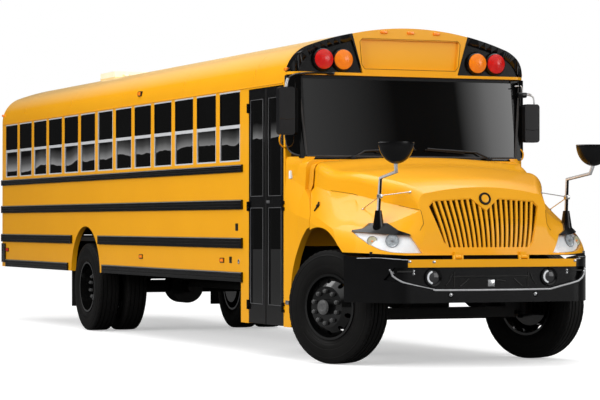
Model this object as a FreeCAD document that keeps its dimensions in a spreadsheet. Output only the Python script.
"""Conventional school bus: chassis, steered front axle, twin-wheel rear axle, coachwork, tilting hood and doors.

Millimetres. +X is forward, +Y is the driver's (left) side and +Z is up. The origin is on the ground, under the
middle of the overall length. Heights are above the ground. Lengths named *_ahead and *_back are measured from
the front axle. Angles are in degrees.
"""
import FreeCAD, Part
import math
import os
import re
import Sketcher
from FreeCAD import Matrix, Placement, Rotation, Vector

doc = FreeCAD.newDocument("school_bus")
sheet = doc.addObject("Spreadsheet::Sheet", "dims")

# ---------------------------------------------------------------- driving dimensions: (alias, value, meaning)
DIMENSIONS = (
    # overall
    ("wheelbase", 7010, "front axle to rear axle"),
    ("body_half", 1219, "half the width of the coachwork"),
    ("wall", 60, "thickness of side walls, rear wall and doors"),
    ("rear_wall_back", 10764, "outer face of the rear wall"),
    ("bumper_back", 10811, "rear face of the rear bumper"),
    ("clearance", 6, "running gap around anything that moves"),
    # wheels
    ("tyre_radius", 512, "rolling radius"),
    ("rim_radius", 286, "bead seat of a tyre"),
    ("rim_wall", 12, "thickness of the rim and disc"),
    ("tyre_bead", 100, "half the width of a tyre at its beads"),
    ("tread_half", 112, "half the width of the tread"),
    ("tread_edge", 8, "chamfer at the edges of the tread"),
    ("sidewall_curve", 198, "radius of a tyre's sidewalls"),
    ("rim_half", 119, "half the width of a rim"),
    ("rim_seat", 107, "half the distance between a rim's flanges"),
    ("rim_lip", 10, "height of a rim's flanges"),
    ("disc_root", 72, "where the disc meets the rim, from the rim's middle"),
    ("nose_radius", 70, "hub caps"),
    ("drum_radius", 205, "brake drums"),
    ("drum_in", 60, "front drum's inner face from the tyre centre"),
    ("twin_drum_in", 300, "rear drum's inner face from the hub face"),
    ("twin_drum_out", 60, "rear drum's outer face from the hub face"),
    ("twin_nose", 100, "rear hub beyond the hub face"),
    ("front_track_half", 1035, "front tyre centre from the middle"),
    ("kingpin_half", 876, "kingpin from the middle"),
    ("steer_rest", 24, "front wheels turned to the left as parked"),
    ("rear_outer_half", 1079, "outer rear tyre centre from the middle"),
    ("dual_spacing", 337, "between the centres of twin tyres"),
    ("hub_radius", 112, "wheel hubs"),
    ("disc_radius", 185, "flat middle of a wheel disc"),
    ("hub_face_out", 150, "face of the wheel disc from the front tyre's centre"),
    ("hub_nose", 45, "hub beyond the wheel disc"),
    ("pin_radius", 20, "kingpins"),
    ("spindle_radius", 38, "front stub axles"),
    ("shaft_radius", 60, "rear axle ends inside the hubs"),
    ("running_gap", 0.05, "radial clearance of a turning fit"),
    ("stud_count", 10, "wheel nuts"),
    ("stud_circle", 142.9, "radius of the wheel nut circle"),
    ("nut_radius", 17, "wheel nuts"),
    ("nut_length", 30, "wheel nuts"),
    ("hand_hole", 22, "radius of the hand holes in the wheel discs"),
    ("hand_circle", 231, "radius of the hand holes' circle"),
    # chassis
    ("rail_half", 432, "outer face of each frame rail from the middle"),
    ("rail_flange", 80, "width of a rail's flanges"),
    ("rail_gauge", 10, "thickness of a rail's steel"),
    ("rail_low", 660, "underside of the rails"),
    ("rail_top", 900, "top of the rails"),
    ("rail_rear_back", 10650, "rear end of the rails"),
    ("beam_half", 48, "half height and half length of the front axle beam"),
    ("beam_drop", 70, "front axle beam below the wheel centre"),
    ("boss_half", 55, "half height of the kingpin bosses"),
    ("boss_radius", 48, "kingpin bosses"),
    ("beam_neck", 110, "gap between the beam and the kingpin"),
    ("ear_depth", 35, "ears of the knuckles"),
    ("knuckle_web", 30, "thickness of the knuckle's outer web"),
    ("tie_pin_radius", 10, "pins at the ends of the tie rod"),
    ("axle_tube_radius", 75, "rear axle tube"),
    ("diff_radius", 200, "rear axle bowl"),
    ("track_arm", 180, "steering arm, kingpin to tie rod eye"),
    ("tie_rod_radius", 16, "tie rod"),
    ("spring_half", 640, "half length of a leaf spring"),
    ("spring_seat", 90, "half length of a spring's seat on its axle"),
    ("spring_pack", 70, "thickness of a spring at its seat"),
    ("spring_leaf", 14, "thickness of a spring at its eyes"),
    ("spring_curve", 2600, "sweep of the springs"),
    ("spring_width", 76, "width of a leaf spring"),
    ("front_spring_out", 440, "front springs' outer faces from the middle"),
    ("rear_spring_in", 446, "rear springs' inner faces from the middle"),
    ("bracket", 60, "length of the spring brackets on the rails"),
    ("pad_reach", 900, "jacking pads from the axles"),
    ("pad_half", 60, "half length of a jacking pad"),
    ("pad_depth", 8, "jacking pads below the rails"),
    ("engine_rear_back", 150, "rear face of the engine"),
    ("engine_front_ahead", 700, "front face of the engine"),
    ("engine_half", 300, "half width of the engine"),
    ("engine_low", 580, "underside of the engine"),
    ("engine_top", 1300, "top of the engine"),
    ("gearbox_length", 900, "gearbox behind the engine"),
    ("gearbox_half", 190, "half width of the gearbox"),
    ("shaft_tube_radius", 55, "propeller shaft"),
    ("radiator_ahead", 800, "rear face of the radiator"),
    ("radiator_depth", 80, "depth of the radiator"),
    ("radiator_half", 380, "half width of the radiator"),
    ("tank_length", 1400, "fuel tank"),
    ("tank_rear_back", 9900, "rear end of the fuel tank"),
    ("tank_low", 560, "underside of the fuel tank"),
    ("tank_round", 60, "rounded edges of the fuel tank"),
    ("exhaust_radius", 55, "exhaust pipe"),
    ("exhaust_height", 620, "middle of the exhaust pipe"),
    ("exhaust_out", 640, "exhaust pipe from the middle"),
    ("silencer_radius", 125, "silencer"),
    # floor and walls
    ("skirt_low", 690, "lower edge of the side skirts"),
    ("waist", 1256, "joint of skirt and upper side wall"),
    ("floor_low", 1050, "underside of the floor"),
    ("floor_top", 1100, "floor"),
    ("bearer", 60, "length of the floor bearers"),
    ("bearer_half", 560, "half width of the floor bearers"),
    ("bearer_count", 9, "floor bearers"),
    ("drip", 2566, "top of the side walls, at the drip rail"),
    ("side_front_back", 1860, "front end of the side walls"),
    ("arch_half", 576, "half length of the rear wheel arch"),
    ("arch_rise", 533, "height of the rear wheel arch above the skirt"),
    # windows
    ("window_count", 13, "windows on each side"),
    ("window_pillar", 110, "wall between two windows"),
    ("window_first_back", 10582, "rear edge of the rearmost window"),
    ("window_last_back", 1888, "front edge of the foremost window"),
    ("window_low", 1862, "bottom of the openings"),
    ("window_top", 2552, "top of the openings"),
    ("sash_bar", 14, "width of a window frame's bars"),
    ("sash_depth", 50, "depth of a window frame"),
    ("sash_mid_low", 2187, "underside of the bar between the two sashes"),
    ("sash_mid_top", 2220, "top of the bar between the two sashes"),
    ("pane", 8, "thickness of the glass"),
    ("pane_in", 8, "glass behind the outer face of the wall"),
    # roof
    ("roof_top", 3090, "top of the roof"),
    ("roof_edge_radius", 342, "roof side curve"),
    ("roof_crown_radius", 2853, "roof crown"),
    ("roof_skin", 45, "thickness of the roof"),
    ("rub_rail_depth", 20, "rub rails beyond the coachwork"),
    ("rub_overlap", 55, "rub rails beyond the front end of the side walls"),
    ("rub_window_low", 1757, "lower edge of the rub rail under the windows"),
    ("rub_window_top", 1829, "upper edge of the rub rail under the windows"),
    ("rub_seat_low", 1395, "lower edge of the rub rail at the seats"),
    ("rub_seat_top", 1488, "upper edge of the rub rail at the seats"),
    ("rub_floor_low", 1018, "lower edge of the rub rail at the floor"),
    ("rub_floor_top", 1118, "upper edge of the rub rail at the floor"),
    ("rub_skirt_low", 690, "lower edge of the rub rail on the skirt"),
    ("rub_skirt_top", 785, "upper edge of the rub rail on the skirt"),
    ("rub_floor_gap", 530, "end of the floor rub rail from the rear axle"),
    ("rub_skirt_gap", 690, "end of the skirt rub rail from the rear axle"),
    ("rub_skirt_short", 220, "rear end of the skirt rub rail from the rear wall"),
    ("driver_window", 760, "length of the driver's window"),
    ("sign_foot_half", 480, "half width of the sign recess at its foot"),
    ("sign_head_half", 506, "half width of the sign recess at its head"),
    ("sign_low", 2708, "foot of the sign recess"),
    ("sign_top", 2977, "head of the sign recess"),
    ("sign_recess", 40, "depth of the sign recess"),
    ("cap_front_back", 585, "front face of the roof cap"),
    ("cap_depth", 300, "length of the roof cap"),
    ("cap_corner", 110, "corners of the roof cap"),
    ("cap_low", 2635, "lower lip of the roof cap"),
    # entrance
    ("door_rear_back", 1650, "rear edge of the doorway"),
    ("door_front_back", 750, "front edge of the doorway"),
    ("door_low", 300, "foot of the doorway"),
    ("door_top", 2545, "head of the doorway"),
    ("post_turn", 60, "how far the windshield's posts turn in at the doorway"),
    ("doorway_post", 40, "post between the doorway and the windshield"),
    ("post_front_back", 600, "front edge of the panel ahead of the doorway"),
    ("arch_foot", 600, "height where the front wheel arch starts to curve"),
    ("arch_head_back", 250, "top of the front wheel arch behind the axle"),
    ("arch_head", 1211, "height of the front wheel arch there"),
    ("cowl_half", 1180, "half the width of the cowl at the hood"),
    ("leaf_glass_top", 2437, "top of the upper door panes"),
    ("leaf_mid_low", 1405, "underside of the bar between the door panes"),
    ("leaf_mid_top", 1517, "top of the bar between the door panes"),
    ("leaf_glass_low", 493, "bottom of the lower door panes"),
    ("leaf_stile", 51, "width of the outer stiles of the door leaves"),
    ("leaf_gasket", 72, "width of the dark gaskets where the leaves meet"),
    ("leaf_depth", 40, "thickness of a door leaf"),
    ("step_run", 165, "depth of one entrance step"),
    ("step_count", 4, "entrance steps"),
    ("step_plate", 6, "sheet of the step well"),
    # cowl, hood and windshield
    ("glass_low", 1860, "foot of the windshield"),
    ("glass_low_back", 540, "foot of the windshield behind the front axle"),
    ("glass_top_back", 640, "head of the windshield behind the front axle"),
    ("glass_thick", 12, "thickness of the windshield"),
    ("glass_half", 1080, "half the width of the windshield"),
    ("header_low", 2600, "head of the windshield's opening"),
    ("seam_foot", 1222, "height of the fender's rear tip at the cowl"),
    ("hood_rear_back", 450, "rear edge of the hood"),
    ("skin_lap", 20, "hood sections drawn past the seam"),
    ("seam_shoulder", 1573, "seam between hood and cowl, foot of its upright part"),
    ("seam_mid_back", 340, "seam between hood and cowl, at the shoulder"),
    ("seam_mid", 1496, "height of the seam there"),
    ("seam_turn_back", 200, "seam between hood and cowl, at the fender"),
    ("seam_turn", 1330, "height of the seam there"),
    ("fender_seam_back", 190, "rear tips of the fenders"),
    ("cowl_corner_back", 472, "front corners of the cowl"),
    ("cowl_corner_half", 1128, "front corners of the cowl, from the middle"),
    ("cowl_rear_back", 710, "rear edge of the cowl"),
    ("hood_rear_top", 1838, "hood height at the seam"),
    ("hood_nose_ahead", 1050, "foot of the hood's nose"),
    ("nose_overrun", 300, "length of cutting tools beyond the seam"),
    ("dome_corner", 90, "reach of the rounding along the dome's edges"),
    ("grille_low", 1042, "bottom of the grille"),
    ("grille_head", 1457, "outer ends of the grille's top"),
    ("grille_rise", 22, "rise of the grille's top towards the notch"),
    ("grille_foot_half", 436, "half the width of the grille's bottom"),
    ("grille_head_half", 538, "half the width of the grille's top"),
    ("grille_corner", 45, "corners of the grille"),
    ("notch_half", 138, "half the width of the notch in the grille's top"),
    ("notch_low", 1371, "bottom of the notch"),
    ("grille_bars", 9, "grille bars on each side of the middle one"),
    ("grille_bar", 22, "width of a grille bar"),
    ("grille_rim", 8, "rim around the grille's slots"),
    ("grille_set_back", 8, "grille behind the hood's face"),
    ("hood_low", 982, "lower edge of the hood"),
    ("hood_sweep", 26, "rise of the hood's lower edge towards its sides"),
    ("hood_skin", 30, "thickness of the hood"),
    ("front_arch_radius", 712, "front wheel arches"),
    ("hinge_ahead", 1072, "hood hinge pins"),
    ("hinge_tab_ahead", 1020, "rear edge of the hood's hinge tabs"),
    ("hinge_height", 966, "hood hinge pins"),
    ("hinge_half", 320, "hood hinges from the middle"),
    ("hinge_eye_half", 30, "half length of a hood hinge eye"),
    ("hinge_gap", 2, "gap between a hinge eye and its lugs"),
    ("hinge_lug", 14, "thickness of a hood hinge lug"),
    ("hinge_pin_radius", 8, "hood hinge pins"),
    # bumpers
    ("bumper_low", 571, "underside of the front bumper"),
    ("bumper_top", 945, "top of the front bumper"),
    ("bumper_ahead", 1120, "front face of the front bumper"),
    ("bumper_depth", 150, "depth of the front bumper"),
    ("bumper_half", 1196, "half length of the front bumper"),
    ("bumper_flat_half", 790, "half length of the front bumper's straight middle"),
    ("bumper_turn_ahead", 1050, "where the front bumper's ends turn back"),
    ("bumper_turn_half", 940, "where the front bumper's ends turn back, from the middle"),
    ("bumper_bend", 180, "radius of the front bumper's bends"),
    ("bumper_tip_ahead", 600, "rear tips of the front bumper"),
    ("bumper_sweep", 3000, "radius of the front bumper's swept ends"),
    ("bumper_skin", 60, "thickness of the front bumper's tips"),
    ("bumper_end_top", 976, "top of the front bumper's ends"),
    ("strip_half", 818, "half length of the strip along the front bumper's top"),
    ("strip_low", 878, "underside of the front bumper's top strip"),
    ("lip_half", 925, "half length of the recess in the front bumper"),
    ("lip_slope", 64, "slope of the recess at its ends"),
    ("lip_rise", 84, "height of the recess's slope"),
    ("lip_flat_half", 560, "half length of the recess's lower edge"),
    ("lip_low", 686, "lower edge of the recess"),
    ("lip_depth", 42, "depth of the recess"),
    ("rear_bumper_low", 746, "underside of the rear bumper"),
    ("rear_bumper_top", 995, "top of the rear bumper"),
    ("rear_bumper_wrap", 185, "rear bumper along the sides"),
    ("tow_bore", 25, "radius of the tow bores"),
    ("tow_half", 412, "tow bores from the middle"),
    ("tow_height", 640, "tow bores"),
    # lamps
    ("lamp_depth", 45, "round lamps"),
    ("lamp_radius", 92, "warning lamps"),
    ("panel_rim", 66, "rim of the cap outside the lamp panels"),
    ("panel_low", 2661, "underside of the lamp panels"),
    ("panel_foot_in", 492, "inner edge of the lamp panels, at the bottom"),
    ("panel_head_in", 593, "inner edge of the lamp panels, at the top"),
    ("panel_recess", 34, "depth of the recesses for the lamp panels"),
    ("panel_skin", 14, "thickness of the lamp panels"),
    ("lamp_height", 2779, "warning lamps"),
    ("red_lamp_half", 891, "red lamps from the middle"),
    ("amber_lamp_half", 694, "amber lamps from the middle"),
    ("tail_lamp_half", 960, "tail lamps from the middle"),
    ("tail_lamp_height", 1600, "tail lamps"),
    ("tail_lamp_radius", 90, "tail lamps"),
    ("lamp_rear_ahead", 560, "rear end of the headlamps"),
    # stop arm, roof hatch and mud flaps
    ("stop_arm_size", 450, "stop arm blade across its flats"),
    ("stop_arm_back", 2300, "stop arm hinge"),
    ("stop_arm_low", 1260, "lower edge of the stop arm"),
    ("stop_blade_in", 1252, "inner face of the stop arm blade from the middle"),
    ("stop_blade_thick", 20, "thickness of the stop arm blade"),
    ("hatch_back", 9060, "middle of the roof hatch"),
    ("hatch_half", 300, "half the length and width of the roof hatch"),
    ("hatch_height", 90, "roof hatch above the roof"),
    ("hatch_curb", 20, "curb under the roof hatch above the roof"),
    ("hatch_rim", 40, "width of the curb"),
    ("seat_gap", 0.3, "gap between a lid and its seat"),
    ("flap_back", 760, "mud flaps behind the rear axle"),
    ("flap_low", 260, "lower edge of the mud flaps"),
    # inside
    ("aisle_half", 165, "half the width of the aisle"),
    ("seat_first", 180, "rear seat's back from the rear wall"),
    ("seat_pitch", 690, "from one seat row to the next"),
    ("seat_count", 12, "seat rows on each side"),
    ("seat_depth", 430, "depth of a seat cushion"),
    ("seat_thick", 140, "thickness of a seat cushion"),
    ("seat_back", 100, "thickness of a seat's back"),
    ("seat_top", 1560, "top of the seat cushions"),
    ("seat_head", 2140, "top of the seat backs"),
    ("driver_back", 1150, "front of the driver's cushion"),
    ("driver_half", 560, "driver's seat from the middle"),
    ("driver_seat_top", 1620, "top of the driver's cushion"),
    ("steering_back", 900, "steering wheel"),
    ("steering_height", 1960, "middle of the steering wheel"),
    ("steering_radius", 225, "steering wheel"),
    ("steering_tilt", 40, "steering column from upright"),
    ("steering_column", 450, "length of the steering column"),
    ("dash_depth", 170, "depth of the dashboard"),
    ("dash_low", 1500, "underside of the dashboard"),
    ("dash_top", 1820, "top of the dashboard"),
    # mirrors
    ("crossview_ahead", 1180, "crossview mirror heads"),
    ("crossview_half", 959, "crossview mirror heads from the middle"),
    ("crossview_reach", 120, "crossview mirror heads, half their length along the bus"),
    ("crossview_bowl", 188, "depth of the crossview mirror heads"),
    ("tower_ahead", 743, "foot of the crossview stalks"),
    ("tower_half", 928, "foot of the crossview stalks from the middle"),
    ("tower_top", 1372, "top of the towers around the stalks"),
    ("tower_height", 190, "height of the towers around the stalks"),
    ("tower_foot", 58, "radius of a tower at its foot"),
    ("tower_head", 29, "radius of a tower at its top"),
    ("shroud_skin", 18, "shrouds above the headlamps"),
    ("crossview_height", 1954, "flat top of the crossview mirror heads"),
    ("crossview_radius", 160, "crossview mirror heads, half their width"),
    ("stalk_radius", 14, "tubes that carry the mirrors"),
    ("mirror_back", 560, "rear face of the side mirrors"),
    ("mirror_depth", 74, "depth of the side mirrors"),
    ("mirror_round", 30, "edges of the side mirrors' heads"),
    ("mirror_foot", 90, "length of the side mirrors' feet"),
    ("mirror_inset", 50, "left mirror nearer the middle than the right one"),
    ("mirror_drop", 38, "lower edge of the left mirror below that of the right one"),
    ("mirror_short", 112, "upper edge of the left mirror below that of the right one"),
    ("mirror_half", 1290, "middle of the side mirrors from the middle"),
    ("mirror_width", 156, "width of the side mirrors"),
    ("mirror_low", 2070, "lower edge of the side mirrors"),
    ("mirror_top", 2510, "upper edge of the side mirrors"),
    ("wiper_back", 474, "wiper pivots"),
    ("wiper_right_half", 635, "right wiper pivot from the middle"),
    ("wiper_left_half", 778, "left wiper pivot from the middle"),
    ("wiper_height", 1868, "wiper pivots"),
    ("wiper_reach", 640, "from a wiper's pivot to its tip"),
    ("elbow_reach", 130, "from a wiper's pivot to its elbow"),
    ("elbow_height", 1930, "elbows of the wipers"),
    ("wiper_tip_back", 508, "wipers along the glass"),
    ("wiper_tip_height", 1958, "wiper tips"),
    ("stalk_knee", 1655, "bend of a crossview stalk above its tower"),
    ("stalk_turn", 1700, "bend of a crossview stalk below its head"),
    ("wiper_radius", 9, "wipers"),
    # hinges of the doors
    ("hinge_pin", 6, "hinge pins"),
    ("hinge_half_height", 45, "half height of a hinge"),
    ("hinge_tab", 32, "hinge straps along the face"),
    ("hinge_play", 1, "gap above and below a hinge's eye"),
    # rear door
    ("rear_door_half", 460, "half width of the rear emergency door"),
    ("rear_door_top", 2480, "head of the rear emergency door"),
    ("rear_door_frame", 90, "width of the door's frame round its panes"),
    ("rear_pane_low", 1420, "foot of the lower pane in the rear door"),
    ("rear_pane_mid", 1760, "head of the lower pane in the rear door"),
    ("rear_window_in", 560, "inner edge of the rear windows from the middle"),
    ("rear_window_out", 1040, "outer edge of the rear windows from the middle"),
)
# Worked out from the driving dimensions. The origin is under the middle of the length, from the rear bumper to
# the heads of the front mirrors.
DERIVED = (
    ("front_axle", "(bumper_back - crossview_ahead - crossview_reach) / 2", "front axle along X"),
    ("rear_axle", "front_axle - wheelbase", "rear axle along X"),
    ("rear_outer", "front_axle - rear_wall_back", "outer face of the rear wall along X"),
    ("side_front", "front_axle - side_front_back", "front end of the side walls along X"),
    ("door_rear", "front_axle - door_rear_back", "rear edge of the doorway along X"),
    ("door_front", "front_axle - door_front_back", "front edge of the doorway along X"),
    ("door_middle", "(door_rear + door_front) / 2", "where the two door leaves meet"),
    ("cap_front", "front_axle - cap_front_back", "front face of the roof cap along X"),
    ("firewall", "front_axle - glass_low_back", "firewall along X"),
    ("inner_half", "body_half - wall", "half the width inside the walls"),
    ("door_well", "step_count * step_run", "depth of the entrance into the bus"),
    ("step_rise", "(floor_top - door_low) / step_count", "height of one entrance step"),
    ("arch_curve", "(arch_half * arch_half + arch_rise * arch_rise) / (2 * arch_rise)",
     "radius of the rear arch"),
    ("window_first", "front_axle - window_first_back", "rear edge of the rearmost window along X"),
    ("window_pitch", "(window_first_back - window_last_back + window_pillar) / window_count",
     "from one window to the next"),
    ("window_width", "window_pitch - window_pillar", "a window's opening"),
    ("roof_centre", "roof_top - roof_crown_radius", "height of the crown's centre"),
    ("roof_drop",
     "sqrt(pow(roof_crown_radius - roof_edge_radius; 2) - pow(body_half - roof_edge_radius; 2))",
     "crown's centre to the edge curve's centre"),
    ("roof_spring", "roof_centre + roof_drop", "height where the roof's side curve starts"),
    ("roof_meet",
     "(body_half - roof_edge_radius) * roof_crown_radius / (roof_crown_radius - roof_edge_radius)",
     "where side curve and crown meet"),
)


def bound(formula):
    """A formula in cell names, as an expression that reads them from the sheet."""
    return re.sub(r"\b[a-z]\w*\b(?!\()", lambda name: "dims." + name.group(), str(formula))


row = 0
for alias, entry, meaning in DIMENSIONS + DERIVED:
    row += 1
    sheet.set(f"A{row}", alias)
    sheet.set(f"B{row}", f"={entry}" if isinstance(entry, str) else str(entry))
    sheet.set(f"C{row}", meaning)
    sheet.setAlias(f"B{row}", alias)
doc.recompute()


def size(alias):
    """The number in one cell."""
    return float(sheet.get(alias))


def value(formula):
    """The number that a formula in cell names gives."""
    return float(sheet.evalExpression(str(formula)))


def place(item, x="0", y="0", z="0"):
    """Bind an object's place."""
    for axis, formula in (("x", x), ("y", y), ("z", z)):
        item.setExpression(".Placement.Base." + axis, bound(formula))


# ---------------------------------------------------------------- builders for plain shapes
def box(name, x, y, z):
    """A box between two formulas on each axis."""
    item = doc.addObject("Part::Box", name)
    for side, (low, high) in (("Length", x), ("Width", y), ("Height", z)):
        item.setExpression(side, bound(f"({high}) - ({low})"))
    place(item, x[0], y[0], z[0])
    return item


TURNS = {"x": Rotation(Vector(0, 1, 0), 90), "y": Rotation(Vector(1, 0, 0), -90), "z": Rotation()}


def rod(name, axis, radius, start, length):
    """A cylinder along a row axis from a start point."""
    item = doc.addObject("Part::Cylinder", name)
    item.setExpression("Radius", bound(radius))
    item.setExpression("Height", bound(length))
    item.Placement = Placement(Vector(), TURNS[axis])
    place(item, *start)
    return item


def fuse(name, items):
    """One solid from pieces that meet."""
    item = doc.addObject("Part::MultiFuse", name)
    item.Shapes = items
    item.Refine = True
    return item


def cut(name, base, tool):
    """A piece with something taken out of it."""
    item = doc.addObject("Part::Cut", name)
    item.Base = base
    item.Tool = tool
    return item


def group(name, items):
    """Like pieces on one body that don't touch."""
    item = doc.addObject("Part::Compound", name)
    item.Links = items
    return item


def shape(name, solid):
    """A piece whose shape is worked out in code."""
    item = doc.addObject("Part::Feature", name)
    item.Shape = solid
    return item


# ---------------------------------------------------------------- builders for sketched bodies
PLANES = {"x": ("YZ_Plane", 1), "y": ("XZ_Plane", -1), "z": ("XY_Plane", 1)}


def origin_plane(body, axis):
    """The body's own origin plane across an axis."""
    role = PLANES[axis][0]
    return [feature for feature in body.Origin.OriginFeatures if feature.Role == role][0]


def side_geometry(here, there, radius):
    """A straight side, or an arc that bulges to the right of its way, or to the left if its radius is negative."""
    if radius == 0:
        return Part.LineSegment(here, there)
    chord = there - here
    half = chord.Length / 2
    rise = abs(radius) - math.sqrt(radius * radius - half * half)
    out = Vector(chord.y, -chord.x, 0).normalize()
    return Part.Arc(here, (here + there) * 0.5 + out * math.copysign(rise, radius), there)


def sketch_on(body, name, axis, start, loops):
    """A sketch across an axis, at a place along it. A loop is a list of corners (u, v) in formulas, where u and v
    are the other two row axes. A third entry bends the side to the next corner to that radius."""
    sketch = body.newObject("Sketcher::SketchObject", name)
    sketch.AttachmentSupport = (origin_plane(body, axis), "")
    sketch.MapMode = "FlatFace"
    sketch.setExpression(".AttachmentOffset.Base.z", bound(f"{PLANES[axis][1]} * ({start})"))
    for loop in loops:
        corners = [Vector(value(corner[0]), value(corner[1]), 0) for corner in loop]
        radii = [value(corner[2]) if len(corner) == 3 else 0 for corner in loop]
        first = sketch.GeometryCount
        count = len(loop)
        starts = []
        for i, radius in enumerate(radii):
            side = sketch.addGeometry(side_geometry(corners[i], corners[(i + 1) % count], radius))
            starts.append(1 if sketch.getPoint(side, 1).isEqual(corners[i], 0.001) else 2)
        for i, corner in enumerate(loop):
            before = (i - 1) % count
            joint = Sketcher.Constraint("Coincident", first + i, starts[i], first + before, 3 - starts[before])
            sketch.addConstraint(joint)
            for direction, formula, number in (("DistanceX", corner[0], corners[i].x),
                                               ("DistanceY", corner[1], corners[i].y)):
                index = sketch.addConstraint(Sketcher.Constraint(direction, -1, 1, first + i, starts[i],
                                                                 number))
                sketch.setExpression(f"Constraints[{index}]", bound(formula))
            if radii[i]:
                index = sketch.addConstraint(Sketcher.Constraint("Radius", first + i, abs(radii[i])))
                sketch.setExpression(f"Constraints[{index}]",
                                     bound(f"abs({corner[2]})".replace("abs(-", "abs(0 - ")))
    return sketch


def new_body(name):
    """An empty PartDesign body."""
    return doc.addObject("PartDesign::Body", name)


def pad(body, name, axis, span, loops):
    """Material between two places along an axis."""
    feature = body.newObject("PartDesign::Pad", body.Name + "_" + name)
    feature.Profile = sketch_on(body, feature.Name + "_outline", axis, span[0], loops)
    feature.setExpression("Length", bound(f"({span[1]}) - ({span[0]})"))
    feature.Reversed = PLANES[axis][1] < 0
    return feature


def pocket(body, name, axis, span, loops):
    """A cut between two places along an axis."""
    feature = body.newObject("PartDesign::Pocket", body.Name + "_" + name)
    feature.Profile = sketch_on(body, feature.Name + "_outline", axis, span[0], loops)
    feature.setExpression("Length", bound(f"({span[1]}) - ({span[0]})"))
    feature.Reversed = PLANES[axis][1] > 0
    return feature


def prism(name, axis, span, loops):
    """A body of one outline, with its holes, between two places along an axis."""
    body = new_body(name)
    pad(body, "pad", axis, span, loops)
    return body


def rectangle(u, v):
    """The corners of a rectangle between two formulas on each axis."""
    return [(u[0], v[0]), (u[1], v[0]), (u[1], v[1]), (u[0], v[1])]


def turn(body, name, loop):
    """Material turned about the body's own Y axis, from an outline in (Y, radius)."""
    feature = body.newObject("PartDesign::Revolution", body.Name + "_" + name)
    sketch = sketch_on(body, feature.Name + "_outline", "x", "0", [loop])
    feature.Profile = sketch
    feature.ReferenceAxis = (sketch, ["H_Axis"])
    feature.Angle = 360
    return feature


def ring(body, kind, name, radius, circle, span, count):
    """Round studs (Pad) or holes (Pocket) on a circle about the body's Y axis, between two places along it."""
    sketch = body.newObject("Sketcher::SketchObject", f"{body.Name}_{name}_outline")
    sketch.AttachmentSupport = (origin_plane(body, "y"), "")
    sketch.MapMode = "FlatFace"
    sketch.setExpression(".AttachmentOffset.Base.z", bound(f"-1 * ({span[0]})"))
    sketch.addGeometry(Part.Circle(Vector(0, value(circle), 0), Vector(0, 0, 1), value(radius)))
    sketch.addConstraint(Sketcher.Constraint("PointOnObject", 0, 3, -2))
    sketch.addConstraint(Sketcher.Constraint("DistanceY", -1, 1, 0, 3, value(circle)))
    sketch.setExpression("Constraints[1]", bound(circle))
    sketch.addConstraint(Sketcher.Constraint("Radius", 0, value(radius)))
    sketch.setExpression("Constraints[2]", bound(radius))
    stud = body.newObject(f"PartDesign::{kind}", f"{body.Name}_{name}")
    stud.Profile = sketch
    stud.setExpression("Length", bound(f"({span[1]}) - ({span[0]})"))
    stud.Reversed = kind == "Pad"
    pattern = body.newObject("PartDesign::PolarPattern", f"{body.Name}_{name}_ring")
    pattern.Originals = [stud]
    axle = [feature for feature in body.Origin.OriginFeatures if feature.Role == "Y_Axis"][0]
    pattern.Axis = (axle, [""])
    pattern.Angle = 360
    pattern.setExpression("Occurrences", bound(count))
    body.Tip = pattern


SIDES = (("left", 1), ("right", -1))

# Every piece is listed here under the name of its file.
pieces = {}


def keep(name, item):
    """List a finished piece under its own name."""
    item.Label = name
    pieces[name] = item


def between(side, low, high):
    """A span across the bus on one side, from two distances off the middle."""
    return (f"{low}", f"{high}") if side > 0 else (f"0 - ({high})", f"0 - ({low})")


# ================================================================ wheels
TYRE_OUTLINE = [
    ("0 - tyre_bead", "rim_radius"),
    ("tyre_bead", "rim_radius", "sidewall_curve"),
    ("tread_half", "tyre_radius - tread_edge"),
    ("tread_half - tread_edge", "tyre_radius"),
    ("tread_edge - tread_half", "tyre_radius"),
    ("0 - tread_half", "tyre_radius - tread_edge", "sidewall_curve"),
]


def tyre(name):
    """A plain tyre about its own Y axis."""
    body = new_body(name)
    turn(body, "carcass", TYRE_OUTLINE)
    return body


def rim_outline(offset, face, way):
    """A rim, its flanges and its disc. offset is the rim's middle, face the disc's outer face and way the side
    of the rim that the disc leans to."""
    under = "rim_radius - rim_wall"
    return [
        (f"{offset} - {way} * rim_half", "rim_radius + rim_lip"),
        (f"{offset} - {way} * rim_seat", "rim_radius + rim_lip"),
        (f"{offset} - {way} * rim_seat", "rim_radius"),
        (f"{offset} + {way} * rim_seat", "rim_radius"),
        (f"{offset} + {way} * rim_seat", "rim_radius + rim_lip"),
        (f"{offset} + {way} * rim_half", "rim_radius + rim_lip"),
        (f"{offset} + {way} * rim_half", under),
        (f"{offset} + {way} * disc_root", under),
        (face, "disc_radius"),
        (face, "hub_radius"),
        (f"{face} - {way} * rim_wall", "hub_radius"),
        (f"{face} - {way} * rim_wall", "disc_radius - rim_wall / 2"),
        (f"{offset} + {way} * (disc_root - 1.4 * rim_wall)", under),
        (f"{offset} - {way} * rim_half", under),
    ]


def front_wheel(name):
    """Rim, disc, hub with its drum, and nuts, about its own Y axis with the face towards +Y."""
    bore = "spindle_radius + running_gap"
    body = new_body(name)
    turn(body, "rim", rim_outline("0", "hub_face_out", 1))
    turn(body, "hub", [
        ("0 - drum_in", bore),
        ("0 - drum_in", "drum_radius"),
        ("drum_in / 2", "drum_radius"),
        ("drum_in / 2", "hub_radius"),
        ("hub_face_out", "hub_radius"),
        ("hub_face_out", "nose_radius"),
        ("hub_face_out + hub_nose", "nose_radius"),
        ("hub_face_out + hub_nose", "0"),
        ("hub_face_out", "0"),
        ("hub_face_out", bore),
    ])
    ring(body, "Pad", "nut", "nut_radius", "stud_circle", ("hub_face_out", "hub_face_out + nut_length"),
         "stud_count")
    ring(body, "Pocket", "hand_hole", "hand_hole", "hand_circle", ("drum_in", "hub_face_out"), "stud_count")
    return body


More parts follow.
